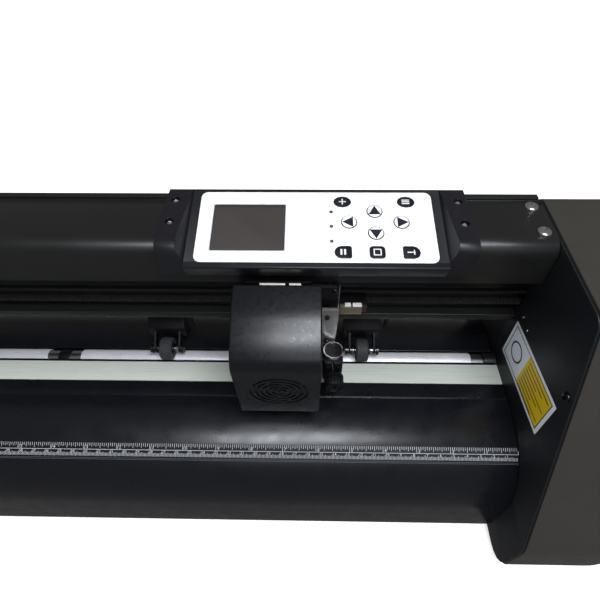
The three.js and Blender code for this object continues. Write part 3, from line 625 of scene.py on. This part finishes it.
def lettering(text, height, matrix, thick=0.04):
    """Plain figures as a flat solid, centred on the matrix and read along its x axis."""
    curve = bpy.data.curves.new("figures", "FONT")
    curve.body = text
    curve.size = height * FIGURE_SIZE
    curve.align_x = "CENTER"
    curve.align_y = "CENTER"
    curve.extrude = thick / 2
    curve.offset = 0.012 * height
    curve.resolution_u = 2
    holder = placed("figures", curve)
    mesh = bmesh.new()
    evaluated = holder.evaluated_get(bpy.context.evaluated_depsgraph_get())
    mesh.from_mesh(evaluated.to_mesh())
    bpy.data.objects.remove(holder)
    bmesh.ops.remove_doubles(mesh, verts=mesh.verts, dist=1e-5)
    return moved(mesh, matrix)


# ---- Frame and housings ----

HALF_SPAN = 369.5
COVER_START = box("right_end_cover")[0].x
COVER_END = box("right_end_cover")[1].x
HALF_DEPTH = cad_high.y / MM
COVER_LOW = box("right_end_cover")[0].z
COVER_TOP = box("right_end_cover")[1].z
COVER_ROLL = 45
COVER_WALL = 2.5
INLET_GAP = 0.3  # round the mains inlet
PORT_GAP = 0.5  # round a data port

# Side view of the machine in (y, z), with the radius of each corner.
SIDE_CORNERS = [
    (-HALF_DEPTH, COVER_LOW, 18), (HALF_DEPTH, COVER_LOW, 10), (HALF_DEPTH, 100, 60),
    (88.5, COVER_TOP, 13), (-23.9, COVER_TOP, 9), (-HALF_DEPTH, 66, 40),
]


def side_ring(x, inset, rolled):
    """The side view at a station x, drawn in by the inset and by the roll of the outer edge."""
    height = COVER_TOP - COVER_LOW
    wide = (HALF_DEPTH - inset - rolled) / HALF_DEPTH
    tall = (height - 2 * inset - rolled) / height
    return [Vector((x, p.x * wide, COVER_LOW + inset + (p.y - COVER_LOW) * tall))
            for p in rounded(SIDE_CORNERS, 14)]


def rolled_rings(inset):
    end = COVER_END - inset
    rings = [side_ring(COVER_START, inset, 0)]
    steps = 20
    for step in range(steps + 1):
        angle = pi / 2 * step / steps
        x = end - COVER_ROLL + COVER_ROLL * sin(angle)
        rings.append(side_ring(x, inset, COVER_ROLL * (1 - cos(angle))))
    return rings


def end_cover(side):
    """Moulded housing of one end, open towards the machine, with its port openings."""
    outer = rolled_rings(0)
    inner = rolled_rings(COVER_WALL)
    lip = 0.6  # rounding of the open rim
    outer[0] = side_ring(COVER_START + lip, 0, 0)
    rim = [side_ring(COVER_START + 0.2, 0.2, 0), side_ring(COVER_START, lip, 0)]
    shell = loft(inner[::-1] + rim[::-1] + outer)
    if side == "right":
        tools = [port_hole("usb"), port_hole("serial")]
    else:
        shell = moved(shell, Matrix.Scale(-1, 4, (1, 0, 0)))
        bmesh.ops.reverse_faces(shell, faces=shell.faces)
        low, high = box("power_inlet")
        tools = [block((-COVER_END - 5, low.y - INLET_GAP, low.z - INLET_GAP),
                       (12 - COVER_END, high.y + INLET_GAP, high.z + INLET_GAP))]
    shell = carved(shell, *tools)
    return piece(f"{side}_end_cover_shell", shell, HOUSING, "machine", [f"{side}_end_cover"], 40)


PORTS = {"usb": (-30, 74, 6, 5.5), "serial": (4, 74, 15.5, 6.5)}  # centre y and z, half width, half height


def port_hole(name):
    y, z, half_y, half_z = PORTS[name]
    half_y += PORT_GAP
    half_z += PORT_GAP
    return block((COVER_END - 12, y - half_y, z - half_z), (COVER_END + 5, y + half_y, z + half_z))


def ports():
    """Metal mouth and contacts of the data ports."""
    y, z, _, _ = PORTS["usb"]
    face = box("main_board")[1].x
    mouth = carved(prism(rectangle(y - 5.2, z - 4.9, y + 5.2, z + 4.9, 0.8), "x", face - 1, face + 0.5),
                   prism(rectangle(y - 4.3, z - 3.9, y + 4.3, z + 3.9, 0.6), "x", face - 2, face + 2))
    tongue = block((face - 9, y - 2.8, z - 1.6), (face - 1, y + 2.8, z + 1.6), 0.3)
    y, z, _, _ = PORTS["serial"]
    shell, hollow = (
        rounded([(y - a, z + h, r), (y + a, z + h, r), (y + b, z - h, r), (y - b, z - h, r)])
        for a, b, h, r in ((9.4, 8, 4.6, 1.6), (8.7, 7.4, 3.9, 1.2)))
    collar = carved(prism(shell, "x", face + 0.05, face + 4), prism(hollow, "x", face + 0.6, face + 6))
    piece("usb_mouth", mouth, ZINC)
    piece("usb_tongue", tongue, NYLON)
    piece("serial_collar", collar, ZINC)
    pins = []
    for row, count in ((1.4, 5), (-1.4, 4)):
        for i in range(count):
            across = y + (i - (count - 1) / 2) * 2.76
            pin = [(0, face + 0.3), (0.5, face + 0.3), (0.5, face + 3), (0, face + 3.5)]
            pins.append(turned(pin, "x", (0, across, z + row), 12))
    piece("serial_pins", pins, BRASS)
    post = [(0, 0), (2.4, 0), (2.4, 4.5), (1.4, 4.5), (1.4, 2), (0, 2)]
    posts = [turned(post, "x", (face + 0.05, y + side * 12.5, z), 6) for side in (-1, 1)]
    piece("serial_jack_posts", posts, ZINC)


def inlet_details():
    """Contact blades and the flange of the mains socket."""
    low, high = box("power_inlet")
    y = (low.y + high.y) / 2
    z = (low.z + high.z) / 2
    face = low.x
    blades = [block((face + 2, y + across - 2, z + up - 0.9), (face + 14.5, y + across + 2, z + up + 0.9))
              for across, up in ((-6.2, -10.6), (6.2, -10.6), (0, -4.6))]
    piece("mains_blades", softened(together(blades), 0.3), ZINC)
    outside = rectangle(y - 16.5, z - 26.5, y + 16.5, z + 26.5, 3)
    inside = rectangle(y - 12.4, z - 22.4, y + 12.4, z + 22.4, 1)
    flange = carved(prism(outside, "x", -COVER_END - 1.6, -COVER_END - 0.1),
                    prism(inside, "x", -COVER_END - 3, -COVER_END + 3))
    piece("inlet_flange", softened(flange, 0.3), BLACK_PLASTIC)


def beam_screws():
    top = box("main_beam")[1].z
    places = [((side * x, y, top), (0, 0, 1), turn)
              for side in (1, -1) for x, y, turn in ((360.6, 71.9, 0.5), (361.3, 47, 0.2))]
    screws("beam_screws", pan_head(4.5), places, ZINC)


def side_plate_screws():
    places = [((side * HALF_SPAN, -40.7, 190.7), (-side, 0, 0), 0.6) for side in (1, -1)]
    screws("side_plate_screws", pan_head(3.4), places, DARK_ZINC)
    rivets = [((side * HALF_SPAN, y, z), (-side, 0, 0), 0.4)
              for side in (1, -1) for y, z in ((31.2, 176.9), (20.2, 175.2))]
    screws("side_plate_rivets", pan_head(1.1), rivets, ZINC)


def housing_screws():
    """Screws that stand in the counterbores of the panel housing."""
    top = box("panel_housing")[1].z
    wells = [(118.7, 74.8), (118.7, 52.7), (310.9, 73.8), (310.9, 51.5)]
    depth = 2.2
    well = [(0, top - depth), (3.0, top - depth), (3.0, top + 1), (0, top + 1)]
    tools = [turned(well, "z", (x, y, 0), 32) for x, y in wells]
    cutter = as_object(moved(together(tools), Matrix.Scale(MM, 4)), "counterbore_tool")
    cutter.hide_render = True
    cutter.hide_viewport = True
    shown = nodes["panel_housing"]
    wells_cut = shown.modifiers.new("counterbores", "BOOLEAN")
    wells_cut.object = cutter
    wells_cut.operation = "DIFFERENCE"
    wells_cut.solver = "EXACT"
    shown.modifiers.move(len(shown.modifiers) - 1, 2)  # cut before the bevel
    places = [((x, y, top - depth), (0, 0, 1), 0.3 + 0.4 * i) for i, (x, y) in enumerate(wells)]
    screws("panel_housing_screws", pan_head(2.3), places, ZINC)


def rear_and_base_screws():
    """Screws of the rear platen, the base pan and the end covers."""
    back = box("rear_platen")[1].y
    rear = [((x, back, 45), (0, 1, 0), 0.2 * i) for i, x in enumerate(range(-330, 331, 110))]
    screws("rear_platen_screws", pan_head(3), rear, DARK_ZINC)
    under = box("base_pan")[0].z
    base = [((x, y, under), (0, 0, -1), 0.3 * i)
            for i, (x, y) in enumerate((x, y) for x in range(-345, 346, 138) for y in (-60, 86))]
    screws("base_pan_screws", pan_head(3), base, DARK_ZINC)
    ends = [((side * (COVER_START + 12), y, COVER_LOW), (0, 0, -1), 0.4)
            for side in (-1, 1) for y in (-80, 0, 80)]
    screws("end_cover_screws", pan_head(2.6), ends, DARK_ZINC)


# ---- Media feed ----

def slot_lip():
    """Black lip between the cutting strip and the slot of the feed roller."""
    back = box("cutting_strip")[1].y
    lip = block((1.5 - HALF_SPAN, back + 0.05, 114.4), (HALF_SPAN - 1.5, 29.3, 115.3), 0.2)
    piece("roller_slot_lip", lip, BLACK_PLASTIC)


def feed_roller():
    """Coated grit sleeves and the ground shaft, with shoulders at the bearings."""
    axis = (0, 34.3, 107.5)
    low, high = box("grit_sleeve_right")
    radius = (high.z - low.z) / 2
    for side, sign in (("right", 1), ("left", -1)):
        start, end = sorted((sign * low.x, sign * high.x))
        bore = radius - 0.5
        profile = [(bore, start), (radius - 0.3, start), (radius, start + 0.4), (radius, end - 0.4),
                   (radius - 0.3, end), (bore, end)]
        piece(f"grit_sleeve_{side}_coated", turned(profile, "x", axis, 72), GRIT, "feed_roller",
              [f"grit_sleeve_{side}"])
    low, high = box("feed_shaft")
    shoulder = HALF_SPAN - 10.5
    profile = [(0, low.x), (5.5, low.x), (6, low.x + 0.5), (6, -shoulder), (6.7, -shoulder),
               (7.2, 0.5 - shoulder), (7.2, shoulder - 0.5), (6.7, shoulder), (6, shoulder),
               (6, high.x - 0.5), (5.5, high.x), (0, high.x)]
    piece("feed_shaft_ground", turned(profile, "x", axis, 64), STEEL, "feed_roller", ["feed_shaft"])


def pinch_wheel(number):
    """Rubber tyre with turned grooves on a hub, and the axle with its collars."""
    body = f"pinch_wheel_{number}"
    low, high = box(body)
    axis = (low + high) / 2
    half = 5
    radius = (high.z - low.z) / 2
    tread = []
    grooves = 5
    for i in range(grooves):
        start = -half + 1.2 + i * (2 * half - 2.4) / grooves
        tread += [(radius, start + 0.15), (radius, start + 1.2),
                  (radius - 0.35, start + 1.3), (radius - 0.35, start + 1.45)]
    profile = [(5.2, -half), (8.1, -half), (8.9, 0.5 - half), (radius - 0.1, 1.1 - half)] + tread + [
        (radius - 0.1, half - 1.0), (8.9, half - 0.5), (8.1, half), (5.2, half)]
    piece(f"{body}_tyre", turned(profile, "x", axis, 64), TYRE, body, [body])
    hub = [(0, -half + 0.4), (5.1, -half + 0.4), (5.1, half - 0.4), (0, half - 0.4)]
    piece(f"{body}_hub", turned(hub, "x", axis, 48), BLACK_PLASTIC, body)
    axle = [(0, -14.3), (1.6, -14.3), (1.9, -14), (1.9, 14), (1.6, 14.3), (0, 14.3)]
    piece(f"{body}_axle", turned(axle, "x", axis, 32), STEEL, body)
    collars = []
    for at, reach in ((-12.8, 1.2), (12.8, 1.2), (-8.2, 0.5), (-6.2, 0.5), (6.2, 0.5)):
        collar = [(2.0, at - reach), (3.7, at - reach), (4, at - reach + 0.3),
                  (4, at + reach - 0.3), (3.7, at + reach), (2.0, at + reach)]
        collars.append(turned(collar, "x", axis, 40))
    piece(f"{body}_collars", collars, DARK_ZINC, body)


# ---- Belt drive ----

BELT_PITCH = 2.5


def toothed_belt():
    """Endless belt: a smooth back and teeth on the inside, at a pitch that closes on itself."""
    low, high = box("drive_belt")
    centre_z = (low.z + high.z) / 2
    half_span = 400  # to the axle of each pulley
    back_lift = 0.7  # from the pitch line to the smooth back
    root, tip = -0.15, -0.7  # from the pitch line to the foot and the crest of a tooth
    pitch_radius = (high.z - low.z) / 2 - back_lift
    straight = 2 * half_span
    arc = pi * pitch_radius
    length = 2 * (straight + arc)
    teeth = round(length / BELT_PITCH)

    def at(s, offset):
        """Point (x, z) on the belt: along one run and round one pulley, and the same again turned by half."""
        side = 1 if s % length < length / 2 else -1
        s %= length / 2
        x, angle = (s - half_span, pi / 2) if s < straight else (
            half_span, pi / 2 - (s - straight) / pitch_radius)
        radius = pitch_radius + offset
        return side * (x + radius * cos(angle)), centre_z + side * radius * sin(angle)

    rings = []
    step = length / teeth
    for tooth in range(teeth):
        for share, inside in ((0.0, root), (0.45, root), (0.6, tip), (0.85, tip)):
            s = (tooth + share) * step
            (x0, z0), (x1, z1) = at(s, back_lift), at(s, inside)
            rings.append([(x0, low.y, z0), (x0, high.y, z0), (x1, high.y, z1), (x1, low.y, z1)])
    piece("toothed_belt", loft(rings, closed_loop=True), RUBBER, "machine", ["drive_belt"], 25)


# ---- Carriage ----

TOOL_X, TOOL_Y = 229, 12  # upright axis of the blade holder
GRILLE_X, GRILLE_Z = 190.8, 170
SLOT_DEPTH = 1.1

# Front line of the cover in (y, z), from the top edge over the brow and down to the hem.
COVER_FRONT = [(17, 227.5), (-2.5, 221.3, 60), (-19, 213.5, 60), (-31, 203.5, 14), (-26, 134.7)]
COVER_BACK = [(18, 131, 3), (21, 140), (21, 165, 4), (27.7, 173, 2), (27.7, 213), (21, 222)]
COVER_HOLLOW = [(30, 223), (17, 225), (-2.5, 218.8, 58), (-18, 211.4, 58), (-28.4, 202.5, 11),
                (-23, 128), (30, 128)]


def carriage_cover():
    low, high = box("carriage_cover")
    wall = 2.4
    full = softened(prism(rounded(COVER_FRONT + COVER_BACK, 18), "x", low.x, high.x), 1.1, 4, 40)
    hollow = prism(rounded(COVER_HOLLOW, 18), "x", low.x + wall, high.x - wall)
    shell = carved(full, hollow, *cover_slots())
    piece("carriage_cover_shell", shell, COVER_GRAIN, "carriage", ["carriage_cover"])


def cover_front(x, z):
    """Point and normal on the lower, nearly flat part of the cover's front."""
    line = sorted((p.y, p.x) for p in rounded(COVER_FRONT + COVER_BACK, 18) if p.x < -15)
    above = next(i for i, (height, _) in enumerate(line) if height >= z)
    (z0, y0), (z1, y1) = line[above - 1], line[above]
    along = Vector((0, y1 - y0, z1 - z0)).normalized()
    return Vector((x, y0 + (y1 - y0) * (z - z0) / (z1 - z0), z)), Vector((0, -along.z, along.y))


def cover_slots():
    """Tools for the round grille low on the cover's front: rings of slots, each broken at its own angles."""
    tools = [film(circle(GRILLE_X, GRILLE_Z, 1.3, 16), cover_front, -SLOT_DEPTH, 2.0)]
    for ring in range(5):
        radius = 4.2 + ring * 3.75
        breaks = 2 + ring % 3
        for part in range(breaks):
            first = 2 * pi * part / breaks + 0.7 * ring
            sweep = 2 * pi / breaks - 2.6 / radius
            steps = max(8, int(radius * sweep / 1.2))
            turns = [first + sweep * i / steps for i in range(steps + 1)]
            edges = [(radius + 0.9, t) for t in turns] + [(radius - 0.9, t) for t in turns[::-1]]
            outline = [(GRILLE_X + r * cos(t), GRILLE_Z + r * sin(t)) for r, t in edges]
            tools.append(film(outline, cover_front, -SLOT_DEPTH, 2.0))
    return tools


def carriage_board():
    """Circuit board with two white connectors and their pins."""
    board = softened(prism(rectangle(168, 207, 212, 221, 0.6), "y", 24.8, 26.4), 0.1)
    piece("carriage_circuit_board", board, BLACK_PLASTIC, "carriage", ["carriage_board"])
    bodies = []
    pins = []
    for x0, x1, ways in ((177.5, 194.6, 7), (197.2, 205.2, 3)):
        bodies.append(softened(carved(block((x0, 18.6, 213.5), (x1, 24.9, 220.4)),
                                      block((x0 + 0.7, 18, 214.3), (x1 - 0.7, 20.5, 219.6))), 0.15))
        pins += [block((x0 + (x1 - x0) * (i + 0.5) / ways - 0.3, 19.2, 216.6),
                       (x0 + (x1 - x0) * (i + 0.5) / ways + 0.3, 24, 217.2)) for i in range(ways)]
    piece("carriage_connectors", bodies, NYLON, "carriage")
    piece("carriage_connector_pins", pins, ZINC, "carriage")


def carriage_plate_edge():
    """Bright steel edge of the guide plate that shows beside the black carriage plate."""
    low, high = box("carriage_plate")
    edge = block((high.x + 0.05, low.y, 185), (high.x + 0.9, high.y + 0.2, high.z), 0.2)
    piece("guide_plate_edge", edge, STEEL, "carriage")


def tool_slide():
    """Steel angle, black split clamp and the stud of the thumb screw."""
    x, y, top = TOOL_X, TOOL_Y, box("tool_slide")[1].z
    upright = prism(rounded([(219.3, 152, 1), (230.4, 152, 3), (232, top, 1.2), (219.3, top, 1.2)]),
                    "y", 20.8, 23.2)
    foot = prism(rectangle(219.5, 17.2, 232, 23.2, 0.6), "z", 140.5, 155)
    piece("tool_angle", softened(upright, 0.25), STEEL_UPRIGHT, "tool", ["tool_slide"])
    piece("tool_angle_foot", softened(foot, 0.3), DARK_ZINC, "tool")
    body = softened(prism(rectangle(x - 7.4, y - 9.5, x + 7.4, y + 8.6, 3, 8), "z", 131, 156), 0.7, 3)
    bore = turned([(0, 120), (6.3, 120), (6.3, 160), (0, 160)], "z", (x, y, 0), 48)
    split = block((x - 0.6, y - 12, 120), (x + 0.6, y - 6, 160))
    piece("blade_clamp", carved(body, bore, split), BLACK_PLASTIC, "tool")
    stud = turned([(0, -6), (1.9, -6), (2.2, -5.7), (2.2, 6), (0, 6)], "y", (x + 1, 0, 139.6), 32)
    piece("clamp_stud", stud, ZINC, "tool")
    places = [((223.6, 20.8, 189), (0, -1, 0), 0.2), ((224, 20.8, 160.5), (0, -1, 0), 0.5)]
    screws("tool_angle_screws", socket_head(1.7), places, DARK_ZINC, "tool")
    places = [((x + 4 * i, y - 9.5, 151.5), (0, -1, 0), 0.3 * i) for i in (-1, 1)]
    screws("clamp_screws", socket_head(1.0), places, DARK_ZINC, "tool")


def blade_holder():
    """Turned holder: knurled flange with a bright rim, a grey cap, and the tapered nose with its blade."""
    x, y, top = TOOL_X, TOOL_Y, box("blade_holder")[1].z
    flange = [(6, top - 3.5), (7.4, top - 3.5), (7.7, top - 3.2), (7.7, top - 0.5), (7.4, top), (6.6, top),
              (6.4, top - 1.6), (0, top - 1.6)]
    tip = [(0, 118), (0.45, 118), (0.7, 120.4), (2.6, 121), (3.4, 122), (4.6, 126), (5.7, 127.4), (6, 128)]
    holder = turned(tip + flange, "z", (x, y, 0), 96, 48, 0.1, 7.7)
    piece("blade_holder_turned", holder, ZINC, "tool", ["blade_holder"])
    cap = turned([(0, top - 1.65), (6.2, top - 1.65), (6.2, top - 1.2), (5.9, top - 1), (2.2, top - 1),
                  (2, top - 1.4), (0, top - 1.4)], "z", (x, y, 0), 64)
    piece("blade_holder_cap", cap, DARK_ZINC, "tool")


def clamp_knob():
    """Knurled thumb screw with a dished face and a dark zinc insert."""
    low, high = box("clamp_knob")
    centre = ((low.x + high.x) / 2, 0, (low.z + high.z) / 2)
    profile = [(2.5, 2), (6.0, 2), (6.6, 1.6), (7.2, 0.8), (7.2, -1.6), (6.3, -2.0), (6.3, -2.9),
               (7.2, -3.3), (7.2, -7.8), (6.8, -8.6), (6.2, -9), (5.2, -9), (4.8, -8.4), (2.5, -8.4)]
    knob = turned(profile, "y", centre, 120, 24, 0.2, 7.2)
    piece("clamp_knob_knurled", knob, BLACK_PLASTIC, "clamp_knob", ["clamp_knob"])
    insert = turned([(2.3, -8.3), (3.6, -8.3), (3.6, -8.6), (2.3, -8.6)], "y", centre, 32)
    piece("clamp_knob_insert", insert, DARK_ZINC, "clamp_knob")


def belt_clamp():
    """Brass face of the clamp with its two jaws, whose near-white colour is partly a painted highlight, and
    the dark block that holds the belt behind it.
    """
    low, high = box("belt_clamp")
    face = block((233.5, 34, low.z), (250, 36.8, 184.2), 0.3)
    strand = 178  # height of the belt's lower run
    holder = carved(block((234, 36.9, low.z), (high.x, high.y, 181.2), 0.4),
                    block((220, 42.5, strand - 1.1), (270, 50, strand + 1.1)))
    piece("belt_clamp_face", face, BRASS, "carriage", ["belt_clamp"])
    piece("belt_clamp_block", holder, BLACK_PLASTIC, "carriage")
    arm = block((215, 31.2, low.z), (233.4, 37.9, 183), 0.4)
    piece("belt_clamp_arm", arm, BLACK_PLASTIC, "carriage")
    # the jaws are clamp parts; their near-white colour is partly a painted highlight for the glints on them
    jaws = [block((x0, 33.8, 183.9), (x1, 36.6, 185.8), 0.25) for x0, x1 in ((237, 241.4), (242.8, 249.4))]
    piece("belt_clamp_jaws", jaws, GLINT_NICKEL, "carriage")
    washer = block((250.1, 35.2, 175.4), (253.6, 36.8, 183.4), 0.4)
    piece("belt_clamp_washer", washer, FIBRE, "carriage")


def carriage_screws():
    front = box("carriage_plate")[0].y
    spots = [(x, z) for z in (177, 208.5) for x in (167, 228.5)]
    places = [((x, front, z), (0, -1, 0), 0.4 * i) for i, (x, z) in enumerate(spots)]
    screws("carriage_plate_screws", pan_head(2), places, DARK_ZINC, "carriage")


# ---- Control panel ----

PANEL_PLACE = Vector((214.65, 23.5, 235.2))
PANEL_TILT = radians(11.8)
PANEL = Matrix.Translation(PANEL_PLACE) @ Matrix.Rotation(PANEL_TILT, 4, "X")
FILM_TOP = 0.8  # surface of the overlay above the face
KEY_TOP = 1.0
DISPLAY_EDGES = (-69.4, 13.6, -20.5, 51.3)
KEYS = {
    "key_upper_left": (18.2, 53.9), "key_upper_right": (61.6, 53.9), "key_up": (39.8, 45.8),
    "key_left": (22.3, 36.8), "key_right": (57.3, 36.8), "key_down": (39.8, 27.9),
    "key_lower_left": (17.7, 12.8), "key_lower_middle": (39.8, 12.8), "key_lower_right": (61.9, 12.8),
}
ARROWS = {"key_up": pi / 2, "key_left": pi, "key_right": 0.0, "key_down": -pi / 2}


def on_panel(u, v):
    """Point and normal on the plane of the panel."""
    return PANEL @ Vector((u, v, 0)), PANEL.to_3x3() @ Vector((0, 0, 1))


def arrow_mark(name):
    """White cap with a dark triangle; the key's dark edge stays as a ring round it."""
    u, v = KEYS[name]
    cap = film(circle(u, v, 4.75, 40), on_panel, KEY_TOP + 0.02)
    piece(f"{name}_cap_print", cap, OVERLAY, name)
    turn = Matrix.Rotation(ARROWS[name], 2)
    corners = [Vector((u, v)) + turn @ Vector(corner) for corner in ((4.6, 0), (-2.7, 4.2), (-2.7, -4.2))]
    piece(f"{name}_arrow_print", film(corners, on_panel, KEY_TOP + 0.07), INK_DARK, name)


def key_mark(name, bars):
    """Small white sign of bars (du, dv, half width, half height) on a dark key."""
    u, v = KEYS[name]
    marks = [bar(on_panel, u + du - w, v + dv - h, u + du + w, v + dv + h, KEY_TOP + 0.02)
             for du, dv, w, h in bars]
    piece(f"{name}_print", marks, INK_WHITE, name)


def panel_prints():
    for name in ARROWS:
        arrow_mark(name)
    thin = 0.35  # half the width of a line
    key_mark("key_upper_left", [(0, 0, 2.4, thin), (0, 0, thin, 2.4)])
    key_mark("key_upper_right", [(-0.2, dv, 2.6, thin) for dv in (1.5, 0, -1.5)])
    key_mark("key_lower_left", [(-1.2, 0, 0.6, 2.1), (1.2, 0, 0.6, 2.1)])
    key_mark("key_lower_middle", [(0, 2.2, 2.5, thin), (0, -2.2, 2.5, thin),
                                  (-2.2, 0, thin, 2.2), (2.2, 0, thin, 2.2)])
    key_mark("key_lower_right", [(-0.3, 0, 2.6, thin), (1.6, 0.8, thin, 1.1), (1.6, -0.8, thin, 1.1)])
    lamps = [(10.4, v) for v in (45.2, 33.2, 21.2)]
    rims = [film(circle(*lamp, 1.25, 24), on_panel, FILM_TOP + 0.01) for lamp in lamps]
    piece("indicator_rims", rims, INK_DARK)
    lenses = [film(circle(*lamp, 0.6, 20), on_panel, FILM_TOP + 0.04, 0.12) for lamp in lamps]
    piece("indicator_lights", lenses, LED_LENS)
    w = 0.5  # width of the border
    u0, v0, u1, v1 = DISPLAY_EDGES
    edges = [(u0 - w, v0 - w, u1 + w, v0), (u0 - w, v1, u1 + w, v1 + w),
             (u0 - w, v0, u0, v1), (u1, v0, u1 + w, v1)]
    border = [bar(on_panel, *edge, FILM_TOP + 0.01) for edge in edges]
    piece("display_border_print", border, INK_GREY)


# ---- Apron rule and side label ----

APRON_CENTRE = (-17, 60)
APRON_RADIUS = 55
RULE_END = 369.1
RULE_TOP = 25.2  # length along the apron's bend from its upper edge
RULE_FOOT = 35.2


def on_apron(x, s):
    """Point and normal on the bend of the apron, s millimetres down from where it starts."""
    angle = s / APRON_RADIUS
    normal = Vector((0, -sin(angle), cos(angle)))
    return Vector((x, APRON_CENTRE[0], APRON_CENTRE[1])) + normal * APRON_RADIUS, normal


def apron_frame(x, s, lift):
    point, normal = on_apron(x, s)
    up = Vector((0, cos(s / APRON_RADIUS), sin(s / APRON_RADIUS)))
    turn = Matrix((Vector((1, 0, 0)), up, normal)).transposed().to_4x4()
    return Matrix.Translation(point + normal * lift) @ turn


def apron_rule():
    """Stuck-on rule with inches above and centimetres below, counted from the right end."""
    steps = 8
    down = [RULE_TOP + (RULE_FOOT - RULE_TOP) * i / steps for i in range(steps + 1)]
    outline = [(s, 0.02) for s in down] + [(s, 0.14) for s in down[::-1]]
    rings = [[apron_frame(end, s, lift).translation for s, lift in outline] for end in (-RULE_END, RULE_END)]
    piece("apron_rule", loft(rings), RULE_FILM)
    lift = 0.15
    half = 0.19  # half the width of a tick
    margin = 0.2  # from the edge of the rule to its ticks
    marks = []
    inch = 25.4
    for i in range(1, int(2 * RULE_END / inch * 16)):
        length = {0: 4.4, 8: 3.6, 4: 3.2, 12: 3.2}.get(i % 16, 2.7 if i % 2 == 0 else 2.2)
        x = RULE_END - i * inch / 16
        marks.append(bar(on_apron, x - half, RULE_TOP + margin, x + half, RULE_TOP + margin + length, lift))
    for i in range(1, int(2 * RULE_END)):
        length = {0: 3.4, 5: 3.0}.get(i % 10, 2.4)
        x = RULE_END - i
        marks.append(bar(on_apron, x - half, RULE_FOOT - margin - length, x + half, RULE_FOOT - margin, lift))
    middle = (RULE_TOP + RULE_FOOT) / 2
    marks.append(bar(on_apron, -RULE_END, middle - 0.2, RULE_END, middle + 0.2, lift))
    marks.append(bar(on_apron, RULE_END - 0.4, RULE_TOP + 2.5, RULE_END, middle, lift + 0.01))
    for unit, size, shift, drop in ((inch, 2.6, 1.9, 3.4), (10, 2.2, 1.7, 6.5)):
        for i in range(1, int(2 * RULE_END / unit) + 1):
            place = apron_frame(RULE_END - i * unit + shift, RULE_TOP + drop, lift + 0.06)
            marks.append(lettering(str(i), size, place))
    piece("apron_rule_marks", marks, INK_RULE)
    lines = [bar(on_apron, -RULE_END, s, RULE_END, s + 0.3, 0.03) for s in (RULE_FOOT + 1.1, RULE_FOOT + 2.1)]
    piece("apron_double_line", lines, INK_LINE)


# Corners of the label in (y, z): upper back, lower back, lower front, upper front.
LABEL_CORNERS = [(34.7, 168.0), (32.5, 131.4), (-43.1, 138.5), (-41.1, 175.7)]


def on_label(a, b):
    """Point on the right side plate: a runs from the label's back to its front, b from its top to its foot."""
    upper_back, lower_back, lower_front, upper_front = (Vector(corner) for corner in LABEL_CORNERS)
    place = upper_back.lerp(upper_front, a).lerp(lower_back.lerp(lower_front, a), b)
    return Vector((HALF_SPAN, place.x, place.y)), Vector((-1, 0, 0))


def side_label():
    """Generic notice: a white field and a yellow field in one frame, with plain rules instead of words."""
    sheet = film(rectangle(0, 0, 1, 1, 0.02), on_label, 0.01, 0.12)
    piece("side_label", sheet, LABEL_WHITE)
    split = 0.42  # where the yellow field starts
    piece("side_label_yellow", bar(on_label, split, 0.09, 0.955, 0.91, 0.135), LABEL_YELLOW)
    outline = [(0.04, 0.07, 0.96, 0.09), (0.04, 0.91, 0.96, 0.93),
               (0.04, 0.07, 0.05, 0.93), (0.95, 0.07, 0.96, 0.93)]
    rules = [(split + 0.04, 0.18 + 0.1 * i, 0.92 - 0.1 * (i % 3), 0.205 + 0.1 * i) for i in range(8)]
    marks = [bar(on_label, *edge, 0.18) for edge in outline + rules]
    ring = []
    for i in range(24):
        t0, t1 = 2 * pi * i / 24, 2 * pi * (i + 1) / 24
        corners = ((0.24, t0), (0.2, t0), (0.2, t1), (0.24, t1))
        ring.append(film([(0.22 + r * 0.5 * cos(t), 0.5 + r * sin(t)) for r, t in corners],
                         on_label, 0.14))
    piece("side_label_lines", marks + ring, INK_DARK)


# ---- Everything in its place ----

place_camera()
light_studio()
lay_floor()

SLOT_LOOKS = {
    "housing": HOUSING, "plate": PLATE_PAINT, "beam": BEAM_BLACK, "platen": PLATEN_PAINT,
    "cutting_strip": STRIP, "black_plastic": BLACK_PLASTIC, "grained_cover": COVER_GRAIN, "grit": GRIT,
    "rail": RAIL_BLACK, "steel": STEEL, "brass": BRASS, "motor": MOTOR_BODY, "rubber": RUBBER,
    "overlay": OVERLAY, "keys": KEY_PLASTIC, "display": LENS, "board": BOARD,
}
for row in frame["record"]["subparts"]:
    dress(row["node"], SLOT_LOOKS[row["material_slot"]])
nodes["panel_housing"].data.materials[0] = PANEL_PAINT

for side in ("right", "left"):
    end_cover(side)
ports()
inlet_details()
beam_screws()
side_plate_screws()
housing_screws()
rear_and_base_screws()
feed_roller()
slot_lip()
for number in (1, 2, 3):
    pinch_wheel(number)
toothed_belt()
carriage_cover()
carriage_board()
carriage_plate_edge()
tool_slide()
blade_holder()
clamp_knob()
belt_clamp()
carriage_screws()
panel_prints()
apron_rule()
side_label()
